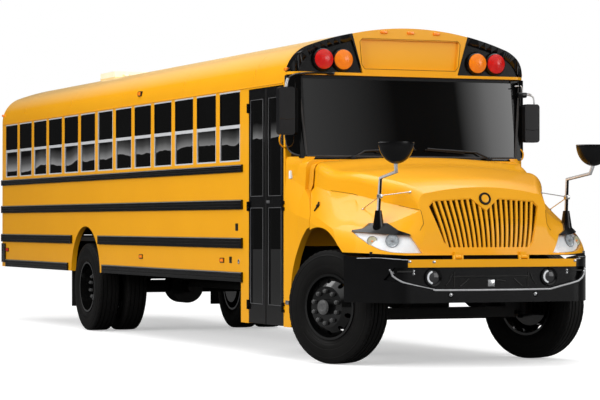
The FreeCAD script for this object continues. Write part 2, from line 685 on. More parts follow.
def rear_wheels(name):
    """A pair of rims whose discs meet on one hub, about its own Y axis with the outer rim towards +Y."""
    bore = "shaft_radius + running_gap"
    body = new_body(name)
    turn(body, "outer_rim", rim_outline("dual_spacing / 2", "0", -1))
    turn(body, "inner_rim", rim_outline("0 - dual_spacing / 2", "0", 1))
    turn(body, "hub", [
        ("0 - twin_drum_in", bore),
        ("0 - twin_drum_in", "drum_radius"),
        ("0 - twin_drum_out", "drum_radius"),
        ("0 - twin_drum_out", "hub_radius"),
        ("rim_wall", "hub_radius"),
        ("twin_nose", "nose_radius"),
        ("twin_nose", "0"),
        ("rim_wall", "0"),
        ("rim_wall", bore),
    ])
    ring(body, "Pad", "nut", "nut_radius", "stud_circle", ("rim_wall / 2", "rim_wall + nut_length"),
         "stud_count")
    ring(body, "Pocket", "hand_hole", "hand_hole", "hand_circle", ("0 - rim_half", "rim_half"), "stud_count")
    return body


def set_on_stub_axle(item, side):
    """Place a piece of a front wheel, turned with the steering as parked."""
    reach = "(front_track_half - kingpin_half)"
    place(item, f"front_axle - {side} * {reach} * sin(steer_rest)",
          f"{side} * (kingpin_half + {reach} * cos(steer_rest))", "tyre_radius")
    turned = bound("steer_rest" if side > 0 else "steer_rest + 180")
    item.setExpression(".Placement.Rotation.Angle", turned)


for side_name, side in SIDES:
    front = tyre(f"front_tyre_{side_name}_body")
    set_on_stub_axle(front, side)
    keep(f"front_tyre_{side_name}", front)
    wheel = front_wheel(f"front_wheel_{side_name}_body")
    set_on_stub_axle(wheel, side)
    keep(f"front_wheel_{side_name}", wheel)

    twins = []
    for position, centre in (("outer", "rear_outer_half"), ("inner", "(rear_outer_half - dual_spacing)")):
        rear = tyre(f"rear_tyre_{position}_{side_name}")
        place(rear, "rear_axle", f"{side} * {centre}", "tyre_radius")
        twins.append(rear)
    keep(f"rear_tyres_{side_name}", group(f"rear_tyres_{side_name}_pair", twins))
    pair = rear_wheels(f"rear_wheels_{side_name}_body")
    place(pair, "rear_axle", f"{side} * (rear_outer_half - dual_spacing / 2)", "tyre_radius")
    pair.setExpression(".Placement.Rotation.Angle", bound("0" if side > 0 else "180"))
    keep(f"rear_wheels_{side_name}", pair)


# ================================================================ axles, knuckles and springs
def vertical(name, radius, along, across, low, high):
    """An upright rod."""
    return rod(name, "z", radius, (along, across, low), f"({high}) - ({low})")


AXLE_LOW = "tyre_radius - beam_drop - beam_half"
AXLE_HIGH = "tyre_radius - beam_drop + beam_half"
BOSS_LOW = "tyre_radius - boss_half"
BOSS_HIGH = "tyre_radius + boss_half"

beam = [box("beam", ("front_axle - beam_half", "front_axle + beam_half"),
            ("beam_neck - kingpin_half", "kingpin_half - beam_neck"), (AXLE_LOW, AXLE_HIGH))]
for side_name, side in SIDES:
    beam.append(box(f"beam_end_{side_name}", ("front_axle - beam_half", "front_axle + beam_half"),
                    between(side, "kingpin_half - beam_neck - 2 * beam_half", "kingpin_half - beam_neck"),
                    (AXLE_LOW, BOSS_HIGH)))
    beam.append(box(f"beam_boss_arm_{side_name}", ("front_axle - beam_half / 2", "front_axle + beam_half / 2"),
                    between(side, "kingpin_half - beam_neck - beam_half", "kingpin_half"),
                    (BOSS_LOW, BOSS_HIGH)))
    beam.append(vertical(f"kingpin_boss_{side_name}", "boss_radius", "front_axle", f"{side} * kingpin_half",
                         BOSS_LOW, BOSS_HIGH))
bores = [vertical(f"kingpin_bore_{side_name}", "pin_radius + running_gap", "front_axle",
                  f"{side} * kingpin_half",
                  BOSS_LOW, BOSS_HIGH) for side_name, side in SIDES]
keep("front_axle_beam", cut("front_axle_bored", fuse("front_axle_solid", beam), group("kingpin_bores", bores)))


def knuckle(side_name, side):
    """A knuckle: two ears on the kingpin, a web outboard, the stub axle and the steering arm. It is built about
    its kingpin with the wheels straight and then turned."""
    gap = "clearance"
    low = f"{BOSS_LOW} - {gap} - ear_depth"
    high = f"{BOSS_HIGH} + {gap} + ear_depth"
    web = between(side, "boss_radius + clearance", "boss_radius + clearance + knuckle_web")
    parts = [
        vertical(f"ear_low_{side_name}", "boss_radius", "0", "0", low, f"{BOSS_LOW} - {gap}"),
        vertical(f"ear_high_{side_name}", "boss_radius", "0", "0", f"{BOSS_HIGH} + {gap}", high),
        vertical(f"kingpin_{side_name}", "pin_radius", "0", "0", low, high),
        box(f"ear_arm_low_{side_name}", ("0 - boss_radius", "boss_radius"),
            between(side, "0", "boss_radius + clearance + knuckle_web"), (low, f"{BOSS_LOW} - {gap}")),
        box(f"ear_arm_high_{side_name}", ("0 - boss_radius", "boss_radius"),
            between(side, "0", "boss_radius + clearance + knuckle_web"), (f"{BOSS_HIGH} + {gap}", high)),
        box(f"knuckle_web_{side_name}", ("0 - boss_radius", "boss_radius"), web, (low, high)),
        box(f"track_arm_{side_name}", ("0 - track_arm", "0"), ("0 - pin_radius", "pin_radius"),
            (low, f"{BOSS_LOW} - {gap}")),
        vertical(f"track_eye_{side_name}", "pin_radius * 1.4", "0 - track_arm", "0", low,
                 f"{BOSS_LOW} - {gap}"),
    ]
    reach = "front_track_half - kingpin_half + hub_face_out - 2 * clearance - boss_radius"
    start = "boss_radius + clearance" if side > 0 else f"0 - boss_radius - clearance - ({reach})"
    parts.append(rod(f"stub_axle_{side_name}", "y", "spindle_radius", ("0", start, "tyre_radius"), reach))
    whole = fuse(f"knuckle_solid_{side_name}", parts)
    eye = vertical(f"track_eye_bore_{side_name}", "tie_pin_radius + running_gap", "0 - track_arm", "0", low,
                   f"{BOSS_LOW} - {gap}")
    item = cut(f"knuckle_bored_{side_name}", whole, eye)
    place(item, "front_axle", f"{side} * kingpin_half")
    item.setExpression(".Placement.Rotation.Angle", bound("steer_rest"))
    return item


for side_name, side in SIDES:
    keep(f"knuckle_{side_name}", knuckle(side_name, side))

EAR_LOW = f"{BOSS_LOW} - clearance - ear_depth"
TIE_X = "front_axle - track_arm * cos(steer_rest)"
TIE_SHIFT = "track_arm * sin(steer_rest)"
tie = [rod("tie_rod_tube", "y", "tie_rod_radius", (TIE_X, f"0 - kingpin_half - {TIE_SHIFT}",
                                                  f"{EAR_LOW} - clearance - 1.2 * tie_rod_radius"),
           "2 * kingpin_half")]
for side_name, side in SIDES:
    tie.append(vertical(f"tie_rod_pin_{side_name}", "tie_pin_radius", TIE_X,
                        f"{side} * kingpin_half - {TIE_SHIFT}",
                        f"{EAR_LOW} - clearance - tie_rod_radius", f"{BOSS_LOW} - clearance"))
    tie.append(vertical(f"tie_rod_end_{side_name}", "tie_rod_radius * 1.5", TIE_X,
                        f"{side} * kingpin_half - {TIE_SHIFT}", f"{EAR_LOW} - clearance - 2.5 * tie_rod_radius",
                        f"{EAR_LOW} - clearance"))
keep("tie_rod", fuse("tie_rod_solid", tie))

TWIN_MIDDLE = "(rear_outer_half - dual_spacing / 2)"
rear_axle_parts = [
    rod("axle_tube", "y", "axle_tube_radius", ("rear_axle", f"twin_drum_in + clearance - {TWIN_MIDDLE}",
                                               "tyre_radius"),
        f"2 * ({TWIN_MIDDLE} - twin_drum_in - clearance)"),
    rod("half_shafts", "y", "shaft_radius", ("rear_axle", f"0 - {TWIN_MIDDLE} - rim_wall / 2", "tyre_radius"),
        f"2 * {TWIN_MIDDLE} + rim_wall"),
    rod("axle_bowl", "x", "diff_radius", ("rear_axle - diff_radius * 0.6", "0", "tyre_radius"),
        "diff_radius * 1.4"),
    rod("axle_pinion", "x", "axle_tube_radius", ("rear_axle", "0", "tyre_radius"), "2 * diff_radius"),
]
keep("rear_axle_beam", fuse("rear_axle_solid", rear_axle_parts))


def leaf_spring(name, middle, across, seat, eye):
    """A pack of leaves between two eyes, bowed down to its seat on an axle."""
    return prism(name, "y", across, [[
        (f"{middle} - spring_half", f"{eye} - spring_leaf", "0 - spring_curve"),
        (f"{middle} - spring_seat", seat),
        (f"{middle} + spring_seat", seat, "0 - spring_curve"),
        (f"{middle} + spring_half", f"{eye} - spring_leaf"),
        (f"{middle} + spring_half", eye),
        (f"{middle} + spring_seat", f"{seat} + spring_pack"),
        (f"{middle} - spring_seat", f"{seat} + spring_pack"),
        (f"{middle} - spring_half", eye),
    ]])


spring_pair = []
for side_name, side in SIDES:
    spring_pair.append(leaf_spring(f"front_spring_{side_name}", "front_axle",
                                   between(side, "front_spring_out - spring_width", "front_spring_out"),
                                   AXLE_HIGH,
                                   "rail_low"))
    spring_pair.append(leaf_spring(f"rear_spring_{side_name}", "rear_axle",
                                   between(side, "rear_spring_in", "rear_spring_in + spring_width"),
                                   "tyre_radius + axle_tube_radius", "rail_low + bracket"))
keep("leaf_springs", group("springs_on_both_axles", spring_pair))


# ================================================================ frame and driveline
RAIL_SPAN = ("front_axle - rail_rear_back", "front_axle + bumper_ahead - bumper_depth")
frame = []
for side_name, side in SIDES:
    web = between(side, "rail_half - rail_gauge", "rail_half")
    flange = between(side, "rail_half - rail_flange", "rail_half")
    frame.append(box(f"rail_web_{side_name}", RAIL_SPAN, web, ("rail_low", "rail_top")))
    frame.append(box(f"rail_lower_flange_{side_name}", RAIL_SPAN, flange,
                     ("rail_low", "rail_low + rail_gauge")))
    frame.append(box(f"rail_upper_flange_{side_name}", RAIL_SPAN, flange,
                     ("rail_top - rail_gauge", "rail_top")))
    for end, middle in (("front", "front_axle - pad_reach"), ("rear", "rear_axle + pad_reach")):
        frame.append(box(f"jacking_pad_{end}_{side_name}", (f"{middle} - pad_half", f"{middle} + pad_half"),
                         flange,
                         ("rail_low - pad_depth", "rail_low")))
    for end, way in (("ahead", 1), ("behind", -1)):
        eye = f"rear_axle + {way} * (spring_half - bracket / 2)"
        frame.append(box(f"rear_spring_bracket_{end}_{side_name}",
                         (f"{eye} - bracket / 2", f"{eye} + bracket / 2"),
                         between(side, "rail_half", "rear_spring_in + spring_width"),
                         ("rail_low + bracket", "rail_top - rail_flange")))
# Cross-members, by their distance behind the front axle.
CROSSMEMBERS = (("nose", "bumper_depth - bumper_ahead + rail_flange"),
                ("gearbox", "engine_rear_back + gearbox_length + rail_flange"),
                ("middle", "wheelbase / 2"), ("before_axle", "wheelbase - spring_half"),
                ("behind_axle", "wheelbase + spring_half"), ("tail", "rail_rear_back"))
for name, back in CROSSMEMBERS:
    frame.append(box(f"crossmember_{name}", (f"front_axle - ({back})", f"front_axle - ({back}) + rail_flange"),
                     ("rail_gauge - rail_half", "rail_half - rail_gauge"),
                     ("rail_top - rail_gauge - rail_flange", "rail_top - rail_gauge")))
keep("frame_rails", fuse("frame_rails_solid", frame))

SHAFT_HEIGHT = "tyre_radius + shaft_tube_radius"
GEARBOX_REAR = "front_axle - engine_rear_back - gearbox_length"
driveline = [
    box("engine", ("front_axle - engine_rear_back", "front_axle + engine_front_ahead"),
        ("0 - engine_half", "engine_half"), ("engine_low", "engine_top")),
    box("gearbox", (GEARBOX_REAR, "front_axle - engine_rear_back"), ("0 - gearbox_half", "gearbox_half"),
        (f"{SHAFT_HEIGHT} - gearbox_half / 2", "floor_low - clearance")),
    rod("propeller_shaft", "x", "shaft_tube_radius", ("rear_axle + 2 * diff_radius", "0", SHAFT_HEIGHT),
        f"{GEARBOX_REAR} - rear_axle - 2 * diff_radius"),
]
radiator = box("radiator_core", ("front_axle + radiator_ahead", "front_axle + radiator_ahead + radiator_depth"),
               ("0 - radiator_half", "radiator_half"), ("rail_top", "engine_top"))
keep("engine_and_shaft",
     group("engine_shaft_and_radiator", [fuse("engine_and_shaft_solid", driveline), radiator]))



def rounded_block(name, x, y, z, radius):
    """A block whose edges along the bus are rounded."""
    blank = box(f"{name}_blank", x, y, z)
    doc.recompute()
    item = doc.addObject("Part::Fillet", name)
    item.Base = blank
    item.Edges = [(number, size(radius), size(radius)) for number, edge in enumerate(blank.Shape.Edges, start=1)
                  if abs(edge.tangentAt(edge.FirstParameter).x) > 0.9]
    return item


keep("fuel_tank", rounded_block(
    "tank_rounded", ("front_axle - tank_rear_back", "front_axle - tank_rear_back + tank_length"),
    ("rail_flange - rail_half + clearance", "rail_half - rail_flange - clearance"), ("tank_low", "rail_top"),
    "tank_round"))

EXHAUST_Y = "exhaust_out"
hangers = [box(f"exhaust_hanger_{number}", (f"front_axle - {back}", f"front_axle - {back} + rail_gauge"),
               ("rail_half", EXHAUST_Y), ("exhaust_height", "rail_low + bracket"))
           for number, back in enumerate(("wheelbase * 0.25", "wheelbase * 0.4", "wheelbase * 0.6"), start=1)]
keep("exhaust", fuse("exhaust_solid", hangers + [
    rod("exhaust_front_pipe", "x", "exhaust_radius",
        ("front_axle - wheelbase / 2", EXHAUST_Y, "exhaust_height"),
        "wheelbase / 2 - post_front_back - tyre_radius"),
    rod("silencer", "x", "silencer_radius", ("front_axle - wheelbase / 2 - silencer_radius * 6", EXHAUST_Y,
                                            "exhaust_height"), "silencer_radius * 10"),
]))


# ================================================================ barrel hinges for the doors
def hinge_box(name, axes, origin, along, inward, height):
    """A tab between a hinge's pin line and the face that carries it. axes are the row axes along the face and
    into it, each with its sign, and the spans are measured from the pin line."""
    spans = {"z": height}
    for (axis, sign), (low, high) in zip(axes, (along, inward)):
        ends = (low, high) if sign > 0 else (f"0 - ({high})", f"0 - ({low})")
        spans[axis] = tuple(f"{origin[axis]} + ({end})" for end in ends)
    return box(name, spans["x"], spans["y"], spans["z"])


def hinges(name, origin, towards_leaf, inward, heights):
    """Barrel hinges on one upright pin line. Returns what the frame carries and what the leaf carries."""
    fixed = []
    moving = []
    axes = (towards_leaf, inward)
    away = (towards_leaf[0], -towards_leaf[1])
    for number, middle in enumerate(heights, start=1):
        low = f"{middle} - hinge_half_height"
        high = f"{middle} + hinge_half_height"
        eye_low = f"{middle} - hinge_half_height / 3"
        eye_high = f"{middle} + hinge_half_height / 3"
        line = (origin["x"], origin["y"])
        fixed.append(rod(f"{name}_pin_{number}", "z", "hinge_pin", line + (low,), "2 * hinge_half_height"))
        for end, bottom, top in (("lower", low, f"{eye_low} - hinge_play"),
                                 ("upper", f"{eye_high} + hinge_play", high)):
            fixed.append(rod(f"{name}_barrel_{end}_{number}", "z", "2 * hinge_pin", line + (bottom,),
                             f"({top}) - ({bottom})"))
            fixed.append(hinge_box(f"{name}_strap_{end}_{number}", (away, inward), origin, ("0", "hinge_tab"),
                                   ("0", "2 * hinge_pin"), (bottom, top)))
        eye = fuse(f"{name}_eye_{number}", [
            rod(f"{name}_eye_barrel_{number}", "z", "2 * hinge_pin", line + (eye_low,),
                f"({eye_high}) - ({eye_low})"),
            hinge_box(f"{name}_eye_strap_{number}", axes, origin, ("0", "hinge_tab"), ("0", "2 * hinge_pin"),
                      (eye_low, eye_high))])
        bore = rod(f"{name}_eye_bore_{number}", "z", "hinge_pin + running_gap", line + (eye_low,),
                   f"({eye_high}) - ({eye_low})")
        moving.append(cut(f"{name}_eye_bored_{number}", eye, bore))
    return fixed, moving


def lying_hinge(name, along, height, middle, pin, tab, lug_low):
    """A hinge with its pin across the bus. tab is the strap of the lid's eye along X and Z, and the two lugs stand
    on lug_low. Returns what stays and what turns."""
    eye = (f"{middle} - hinge_eye_half", f"{middle} + hinge_eye_half")
    ring = rod(f"{name}_ring", "y", f"2 * {pin}", (along, eye[0], height), "2 * hinge_eye_half")
    bore = rod(f"{name}_bore", "y", f"{pin} + running_gap", (along, eye[0], height), "2 * hinge_eye_half")
    strap = box(f"{name}_strap", tab[0], eye, tab[1])
    turning = cut(f"{name}_eye", fuse(f"{name}_eye_blank", [ring, strap]), bore)
    lug_along = (f"{along} - 2 * {pin}", f"{along} + 2 * {pin}")
    lug_up = (lug_low, f"{height} + 2 * {pin}")
    fixed = [
        box(f"{name}_lug_right", lug_along, (f"{eye[0]} - hinge_gap - hinge_lug", f"{eye[0]} - hinge_gap"),
            lug_up),
        box(f"{name}_lug_left", lug_along, (f"{eye[1]} + hinge_gap", f"{eye[1]} + hinge_gap + hinge_lug"),
            lug_up),
        rod(f"{name}_pin", "y", pin, (along, f"{eye[0]} - hinge_gap - hinge_lug", height),
            "2 * (hinge_eye_half + hinge_gap + hinge_lug)"),
    ]
    return fixed, turning


# ================================================================ floor, skirts and side walls
INNER = ("0 - inner_half", "inner_half")
FLOOR_REAR = "rear_outer + wall"
floor = [
    box("floor_plate", (FLOOR_REAR, "side_front"), INNER, ("floor_low", "floor_top")),
    box("floor_beside_well", ("side_front", "door_front"), ("door_well - inner_half", "inner_half"),
        ("floor_low", "floor_top")),
    box("floor_behind_well", ("side_front", "door_rear"), INNER, ("floor_low", "floor_top")),
    box("floor_front", ("door_front", "firewall - wall / 2"), ("wall - cowl_half", "cowl_half - wall"),
        ("floor_low", "floor_top")),
]
# Bearers carry the floor on the rails.
for i in range(int(size("bearer_count"))):
    along = f"{FLOOR_REAR} + bearer + (side_front - {FLOOR_REAR} - 3 * bearer) * {i} / (bearer_count - 1)"
    floor.append(box(f"floor_bearer_{i + 1}", (along, f"{along} + bearer"), ("0 - bearer_half", "bearer_half"),
                     ("rail_top", "floor_low")))
keep("floor", fuse("floor_solid", floor))

WELL_OUTER = "0 - inner_half"
WELL_INNER = "door_well - inner_half"
well = []
for end, low in (("rear", "door_rear"), ("front", "door_front - step_plate")):
    well.append(box(f"well_{end}_cheek", (low, f"{low} + step_plate"), (WELL_OUTER, WELL_INNER),
                    ("door_low", "floor_low")))
for i in range(int(size("step_count"))):
    tread = (f"{WELL_OUTER} + step_run * {i}", f"{WELL_OUTER} + step_run * {i + 1}")
    height = f"door_low + step_rise * {i}"
    top = f"{height} + step_rise + step_plate" if i + 1 < size("step_count") else "floor_low"
    well.append(box(f"step_tread_{i + 1}", ("door_rear", "door_front"), tread,
                    (height, f"{height} + step_plate")))
    well.append(box(f"step_riser_{i + 1}", ("door_rear", "door_front"), (f"{tread[1]} - step_plate", tread[1]),
                    (height, top)))
keep("step_well", fuse("step_well_solid", well))


def along_bus(body, features, pitch, count):
    """Repeat features along X."""
    pattern = body.newObject("PartDesign::LinearPattern", body.Name + "_row")
    pattern.Originals = features
    axis = [feature for feature in body.Origin.OriginFeatures if feature.Role == "X_Axis"][0]
    pattern.Direction = (axis, [""])
    pattern.setExpression("Length", bound(f"{pitch} * ({count} - 1)"))
    pattern.setExpression("Occurrences", bound(count))
    body.Tip = pattern


DRIVER_WINDOW = ("door_rear", "door_rear + driver_window")
WINDOW_HEIGHT = ("window_low", "window_top")
for side_name, side in SIDES:
    across = between(side, "inner_half", "body_half")
    front = "side_front" if side < 0 else "door_front"
    keep(f"skirt_{side_name}", prism(f"skirt_{side_name}_body", "y", across, [[
        ("rear_outer", "skirt_low"),
        ("rear_axle - arch_half", "skirt_low", "0 - arch_curve"),
        ("rear_axle + arch_half", "skirt_low"),
        (front, "skirt_low"),
        (front, "waist"),
        ("rear_outer", "waist"),
    ]]))
    wall = new_body(f"side_wall_{side_name}_body")
    openings = [] if side < 0 else [rectangle(DRIVER_WINDOW, WINDOW_HEIGHT)]
    pad(wall, "panel", "y", across, [rectangle(("rear_outer", front), ("waist", "drip"))] + openings)
    first = ("window_first", "window_first + window_width")
    hole = pocket(wall, "window", "y", across, [rectangle(first, WINDOW_HEIGHT)])
    doc.recompute()
    along_bus(wall, [hole], "window_pitch", "window_count")
    keep(f"side_wall_{side_name}", wall)

rails = []
for side_name, side in SIDES:
    across = between(side, "body_half", "body_half + rub_rail_depth")
    for name in ("window", "seat", "floor", "skirt"):
        height = (f"rub_{name}_low", f"rub_{name}_top")
        front = "side_front + rub_overlap" if side < 0 else "door_front"
        if name in ("window", "seat"):
            rails.append(box(f"rub_{name}_{side_name}", ("rear_outer", front), across, height))
            continue
        rear = "rear_outer" if name == "floor" else "rear_outer + rub_skirt_short"
        gap = f"rub_{name}_gap"
        rails.append(box(f"rub_{name}_rear_{side_name}", (rear, f"rear_axle - {gap}"), across, height))
        rails.append(box(f"rub_{name}_front_{side_name}", (f"rear_axle + {gap}", front), across, height))
keep("rub_rails", group("rub_rails_both_sides", rails))


# ================================================================ windows
def window_frame(body, x, across, bar_across):
    """A ring round the opening and a bar across it between the two sashes."""
    ring = pad(body, "ring", "y", across, [
        rectangle(x, WINDOW_HEIGHT),
        rectangle((f"{x[0]} + sash_bar", f"{x[1]} - sash_bar"),
                  ("window_low + sash_bar", "window_top - sash_bar")),
    ])
    bar = pad(body, "bar", "y", bar_across, [
        rectangle((f"{x[0]} + sash_bar", f"{x[1]} - sash_bar"), ("sash_mid_low", "sash_mid_top"))])
    return [ring, bar]


def pane(body, x, across):
    """The glass inside a window frame."""
    return pad(body, "glass", "y", across, [
        rectangle((f"{x[0]} + sash_bar", f"{x[1]} - sash_bar"),
                  ("window_low + sash_bar", "window_top - sash_bar"))])


frames = []
panes = []
for side_name, side in SIDES:
    depth = between(side, "body_half - sash_depth", "body_half")
    front_of_glass = between(side, "body_half - pane_in", "body_half")
    glass = between(side, "body_half - pane_in - pane", "body_half - pane_in")
    first = ("window_first", "window_first + window_width")
    body = new_body(f"window_frames_{side_name}")
    features = window_frame(body, first, depth, front_of_glass)
    doc.recompute()
    along_bus(body, features, "window_pitch", "window_count")
    frames.append(body)
    body = new_body(f"window_panes_{side_name}")
    features = [pane(body, first, glass)]
    doc.recompute()
    along_bus(body, features, "window_pitch", "window_count")
    panes.append(body)
    if side > 0:
        body = new_body("driver_window_frame")
        window_frame(body, DRIVER_WINDOW, depth, front_of_glass)
        frames.append(body)
        body = new_body("driver_window_pane")
        pane(body, DRIVER_WINDOW, glass)
        panes.append(body)
keep("window_frames", group("window_frames_all", frames))


# ================================================================ roof, roof cap and rear
def roof_outline(inset, low):
    """Half width, side curve and crown of the roof, a distance inside its outer face."""
    half = f"(body_half - {inset})"
    edge = f"(roof_edge_radius - {inset})"
    crown = f"(roof_crown_radius - {inset})"
    meet = f"roof_meet * {crown} / roof_crown_radius"
    meet_up = f"roof_centre + sqrt({crown} * {crown} - ({meet}) * ({meet}))"
    return [(f"0 - {half}", low), (half, low), (half, "roof_spring", edge), (meet, meet_up, crown),
            (f"0 - ({meet})", meet_up, edge), (f"0 - {half}", "roof_spring")]


ROOF_OUTER = roof_outline("0", "drip")
roof = new_body("roof_body")
pad(roof, "shell", "x", ("rear_outer", "cap_front - cap_depth"), [ROOF_OUTER])
doc.recompute()
pocket(roof, "inside", "x", ("rear_outer + wall", "cap_front - cap_depth"), [roof_outline("roof_skin", "drip")])
HATCH_LENGTH = ("front_axle - hatch_back - hatch_half", "front_axle - hatch_back + hatch_half")
HATCH_WIDTH = ("0 - hatch_half", "hatch_half")
curb = box("hatch_curb_block", HATCH_LENGTH, HATCH_WIDTH, ("roof_top - roof_skin", "roof_top + hatch_curb"))
hatch_hole = box("hatch_hole", (f"{HATCH_LENGTH[0]} + hatch_rim", f"{HATCH_LENGTH[1]} - hatch_rim"),
                 ("hatch_rim - hatch_half", "hatch_half - hatch_rim"), ("drip", "roof_top + hatch_height"))
LID_LOW = "roof_top + hatch_curb + seat_gap"
HATCH_LINE = (f"{HATCH_LENGTH[1]} + 3 * hinge_pin", f"{LID_LOW} + 3 * hinge_pin")
hatch_lugs = []
hatch_eyes = []
for side_name, side in SIDES:
    fixed, turning = lying_hinge(f"hatch_hinge_{side_name}", *HATCH_LINE, f"{side} * hatch_half / 2",
                                 "hinge_pin",
                                 ((HATCH_LENGTH[1], HATCH_LINE[0]),
                                  (f"{HATCH_LINE[1]} - hinge_pin", f"{HATCH_LINE[1]} + hinge_pin")),
                                 "roof_top - roof_skin")
    hatch_lugs += fixed
    hatch_eyes.append(turning)
keep("roof", cut("roof_with_hatch", fuse("roof_with_curb", [roof, curb] + hatch_lugs), hatch_hole))


def panel_outline(side, inset):
    """The lamp panel on one side of the cap, a distance inside its recess."""
    rim = f"(panel_rim + {inset})"
    low = f"(panel_low + {inset})"
    edge = f"(roof_edge_radius - {rim})"
    crown = f"(roof_crown_radius - {rim})"
    foot = (f"body_half - {rim} - {edge} + "
            f"sqrt({edge} * {edge} - ({low} - roof_spring) * ({low} - roof_spring))")
    meet = f"roof_meet * {crown} / roof_crown_radius"
    meet_up = f"roof_centre + sqrt({crown} * {crown} - ({meet}) * ({meet}))"
    head_up = f"roof_centre + sqrt({crown} * {crown} - (panel_head_in + {inset}) * (panel_head_in + {inset}))"
    outline = [(f"{side} * (panel_foot_in + {inset})", low), (f"{side} * ({foot})", low, edge),
               (f"{side} * {meet}", meet_up, crown), (f"{side} * (panel_head_in + {inset})", head_up)]
    if side == "1":
        return outline
    head, meeting, corner, inner_foot = [place[:2] for place in reversed(outline)]
    return [head + (crown,), meeting + (edge,), corner, inner_foot]


cap = new_body("roof_cap_body")
pad(cap, "block", "x", ("cap_front - cap_depth", "cap_front"), [roof_outline("0", "drip")])
doc.recompute()
pocket(cap, "lip", "y", ("0 - body_half", "body_half"), [
    rectangle(("door_front", "cap_front"), ("drip", "cap_low"))])
pocket(cap, "sign", "x", ("cap_front - sign_recess", "cap_front"), [[
    ("0 - sign_foot_half", "sign_low"), ("sign_foot_half", "sign_low"),
    ("sign_head_half", "sign_top"), ("0 - sign_head_half", "sign_top")]])
doc.recompute()
CAP_CORNER = [("cap_front - cap_corner", "body_half"), ("cap_front - cap_corner", "body_half + wall"),
              ("cap_front + wall", "body_half + wall"), ("cap_front + wall", "body_half - cap_corner"),
              ("cap_front", "body_half - cap_corner")]
right_corner = [(ahead, f"0 - ({across})") for ahead, across in CAP_CORNER]
left_corner = [CAP_CORNER[0] + ("0 - cap_corner",)] + CAP_CORNER[:0:-1]
pocket(cap, "corners", "z", ("drip - wall", "roof_top + wall"), [
    right_corner[:4] + [right_corner[4] + ("0 - cap_corner",)], left_corner])
doc.recompute()
pocket(cap, "lamp_panels_recess", "x", ("cap_front - panel_recess", "cap_front"), [
    panel_outline(side, "0") for side in ("1", "(0 - 1)")])
keep("roof_cap", cap)

rear = new_body("rear_wall_body")
pad(rear, "panel", "x", ("rear_outer", "rear_outer + wall"), [
    rectangle(INNER, ("skirt_low", "drip")),
    rectangle(("0 - rear_door_half - clearance", "rear_door_half + clearance"),
              ("floor_top", "rear_door_top + clearance")),
    rectangle(("rear_window_in", "rear_window_out"), ("window_low", "rear_door_top")),
    rectangle(("0 - rear_window_out", "0 - rear_window_in"), ("window_low", "rear_door_top")),
])
REAR_HINGE = {"x": "rear_outer - 2 * hinge_pin", "y": "0 - rear_door_half - clearance / 2"}
rear_fixed, rear_moving = hinges("rear_door_hinge", REAR_HINGE, ("y", 1), ("x", 1),
                                 ("floor_top + bracket * 3", "rear_door_top - bracket * 3"))
keep("rear_wall", fuse("rear_wall_solid", [rear] + rear_fixed))
REAR_GLASS = ("rear_outer + pane_in", "rear_outer + pane_in + pane")
for side_name, side in SIDES:
    panes.append(box(f"rear_pane_{side_name}", REAR_GLASS, between(side, "rear_window_in", "rear_window_out"),
                     ("window_low", "rear_door_top")))
door = new_body("rear_door_body")
DOOR_PANES = (("lower", "rear_pane_low", "rear_pane_mid"),
              ("upper", "window_low", "rear_door_top - rear_door_frame"))
DOOR_GLASS_HALF = ("rear_door_frame - rear_door_half", "rear_door_half - rear_door_frame")
pad(door, "panel", "x", ("rear_outer", "rear_outer + wall"), [
    rectangle(("0 - rear_door_half", "rear_door_half"), ("floor_top + clearance", "rear_door_top")),
] + [rectangle(DOOR_GLASS_HALF, (low, top)) for name, low, top in DOOR_PANES])
keep("rear_door", fuse("rear_door_solid", [door] + rear_moving))
keep("rear_door_panes", group("rear_door_panes_pair", [
    box(f"rear_door_pane_{name}", REAR_GLASS, DOOR_GLASS_HALF, (low, top)) for name, low, top in DOOR_PANES]))


# ================================================================ forms of the hood and the cowl
# The hood is what two smooth lofts have in common: one along the bus, for the domed middle and the fenders' tops,
# and one upwards, for the nose and the fenders' rounded fronts.
# Along the bus. Columns: distance ahead of the front axle, height of the crown, half width and height of the crown's
# edge, half width and height of the valley beside the fender, of the fender's crest and of its flank.
DOME_SECTIONS = (
    ("0 - hood_rear_back - skin_lap", "hood_rear_top", 1010, 1812, 1037, 1573, 1120, 1480, 1186, 1300),
    ("0 - 160", "hood_rear_top - 26", 1034, 1748, 1048, 1560, 1125, 1440, 1190, 1285),
    ("150", "hood_rear_top - 58", 950, 1716, 950, 1522, 1090, 1370, 1190, 1235),
    ("400", "hood_rear_top - 96", 862, 1672, 850, 1478, 1000, 1342, 1190, 1185),
    ("600", "hood_rear_top - 140", 762, 1622, 752, 1432, 880, 1332, 1190, 1150),
    ("805", "hood_rear_top - 198", 658, 1556, 660, 1392, 790, 1292, 1190, 1110),
    ("960", "hood_rear_top - 288", 598, 1462, 620, 1350, 740, 1248, 1190, 1060),
    ("1080", "hood_rear_top - 398", 552, 1352, 595, 1270, 720, 1165, 1190, 1010),
)
# Upwards. Columns: height, distance ahead of the middle of the nose, distance ahead and half width where the nose
# ends, where its corner is roundest, where the fender's front ends and where the fender is full width.
NOSE_SECTIONS = (
    ("hood_low - hood_skin", "hood_nose_ahead", 1032, 600, 975, 890, 700, 1135, 400, 1190),
    ("1150", "hood_nose_ahead - 14", 1004, 600, 885, 880, 640, 1098, 380, 1190),
    ("1350", "hood_nose_ahead - 60", 945, 610, 745, 795, 400, 990, 100, 1150),
    ("hood_rear_top + hood_skin", "hood_nose_ahead - 190", 790, 640, 610, 860, 300, 1040, 0, 1170),
)


def mirrored_wire(half, middle):
    """A closed outline from the curves of its left half, joined on the right by their reflections."""
    across = Vector(0, 1, 0)
    other = [curve.mirror(Vector(0, 0, 0), across) for curve in half]
    return Part.Wire(Part.__sortEdges__(half + other + middle))


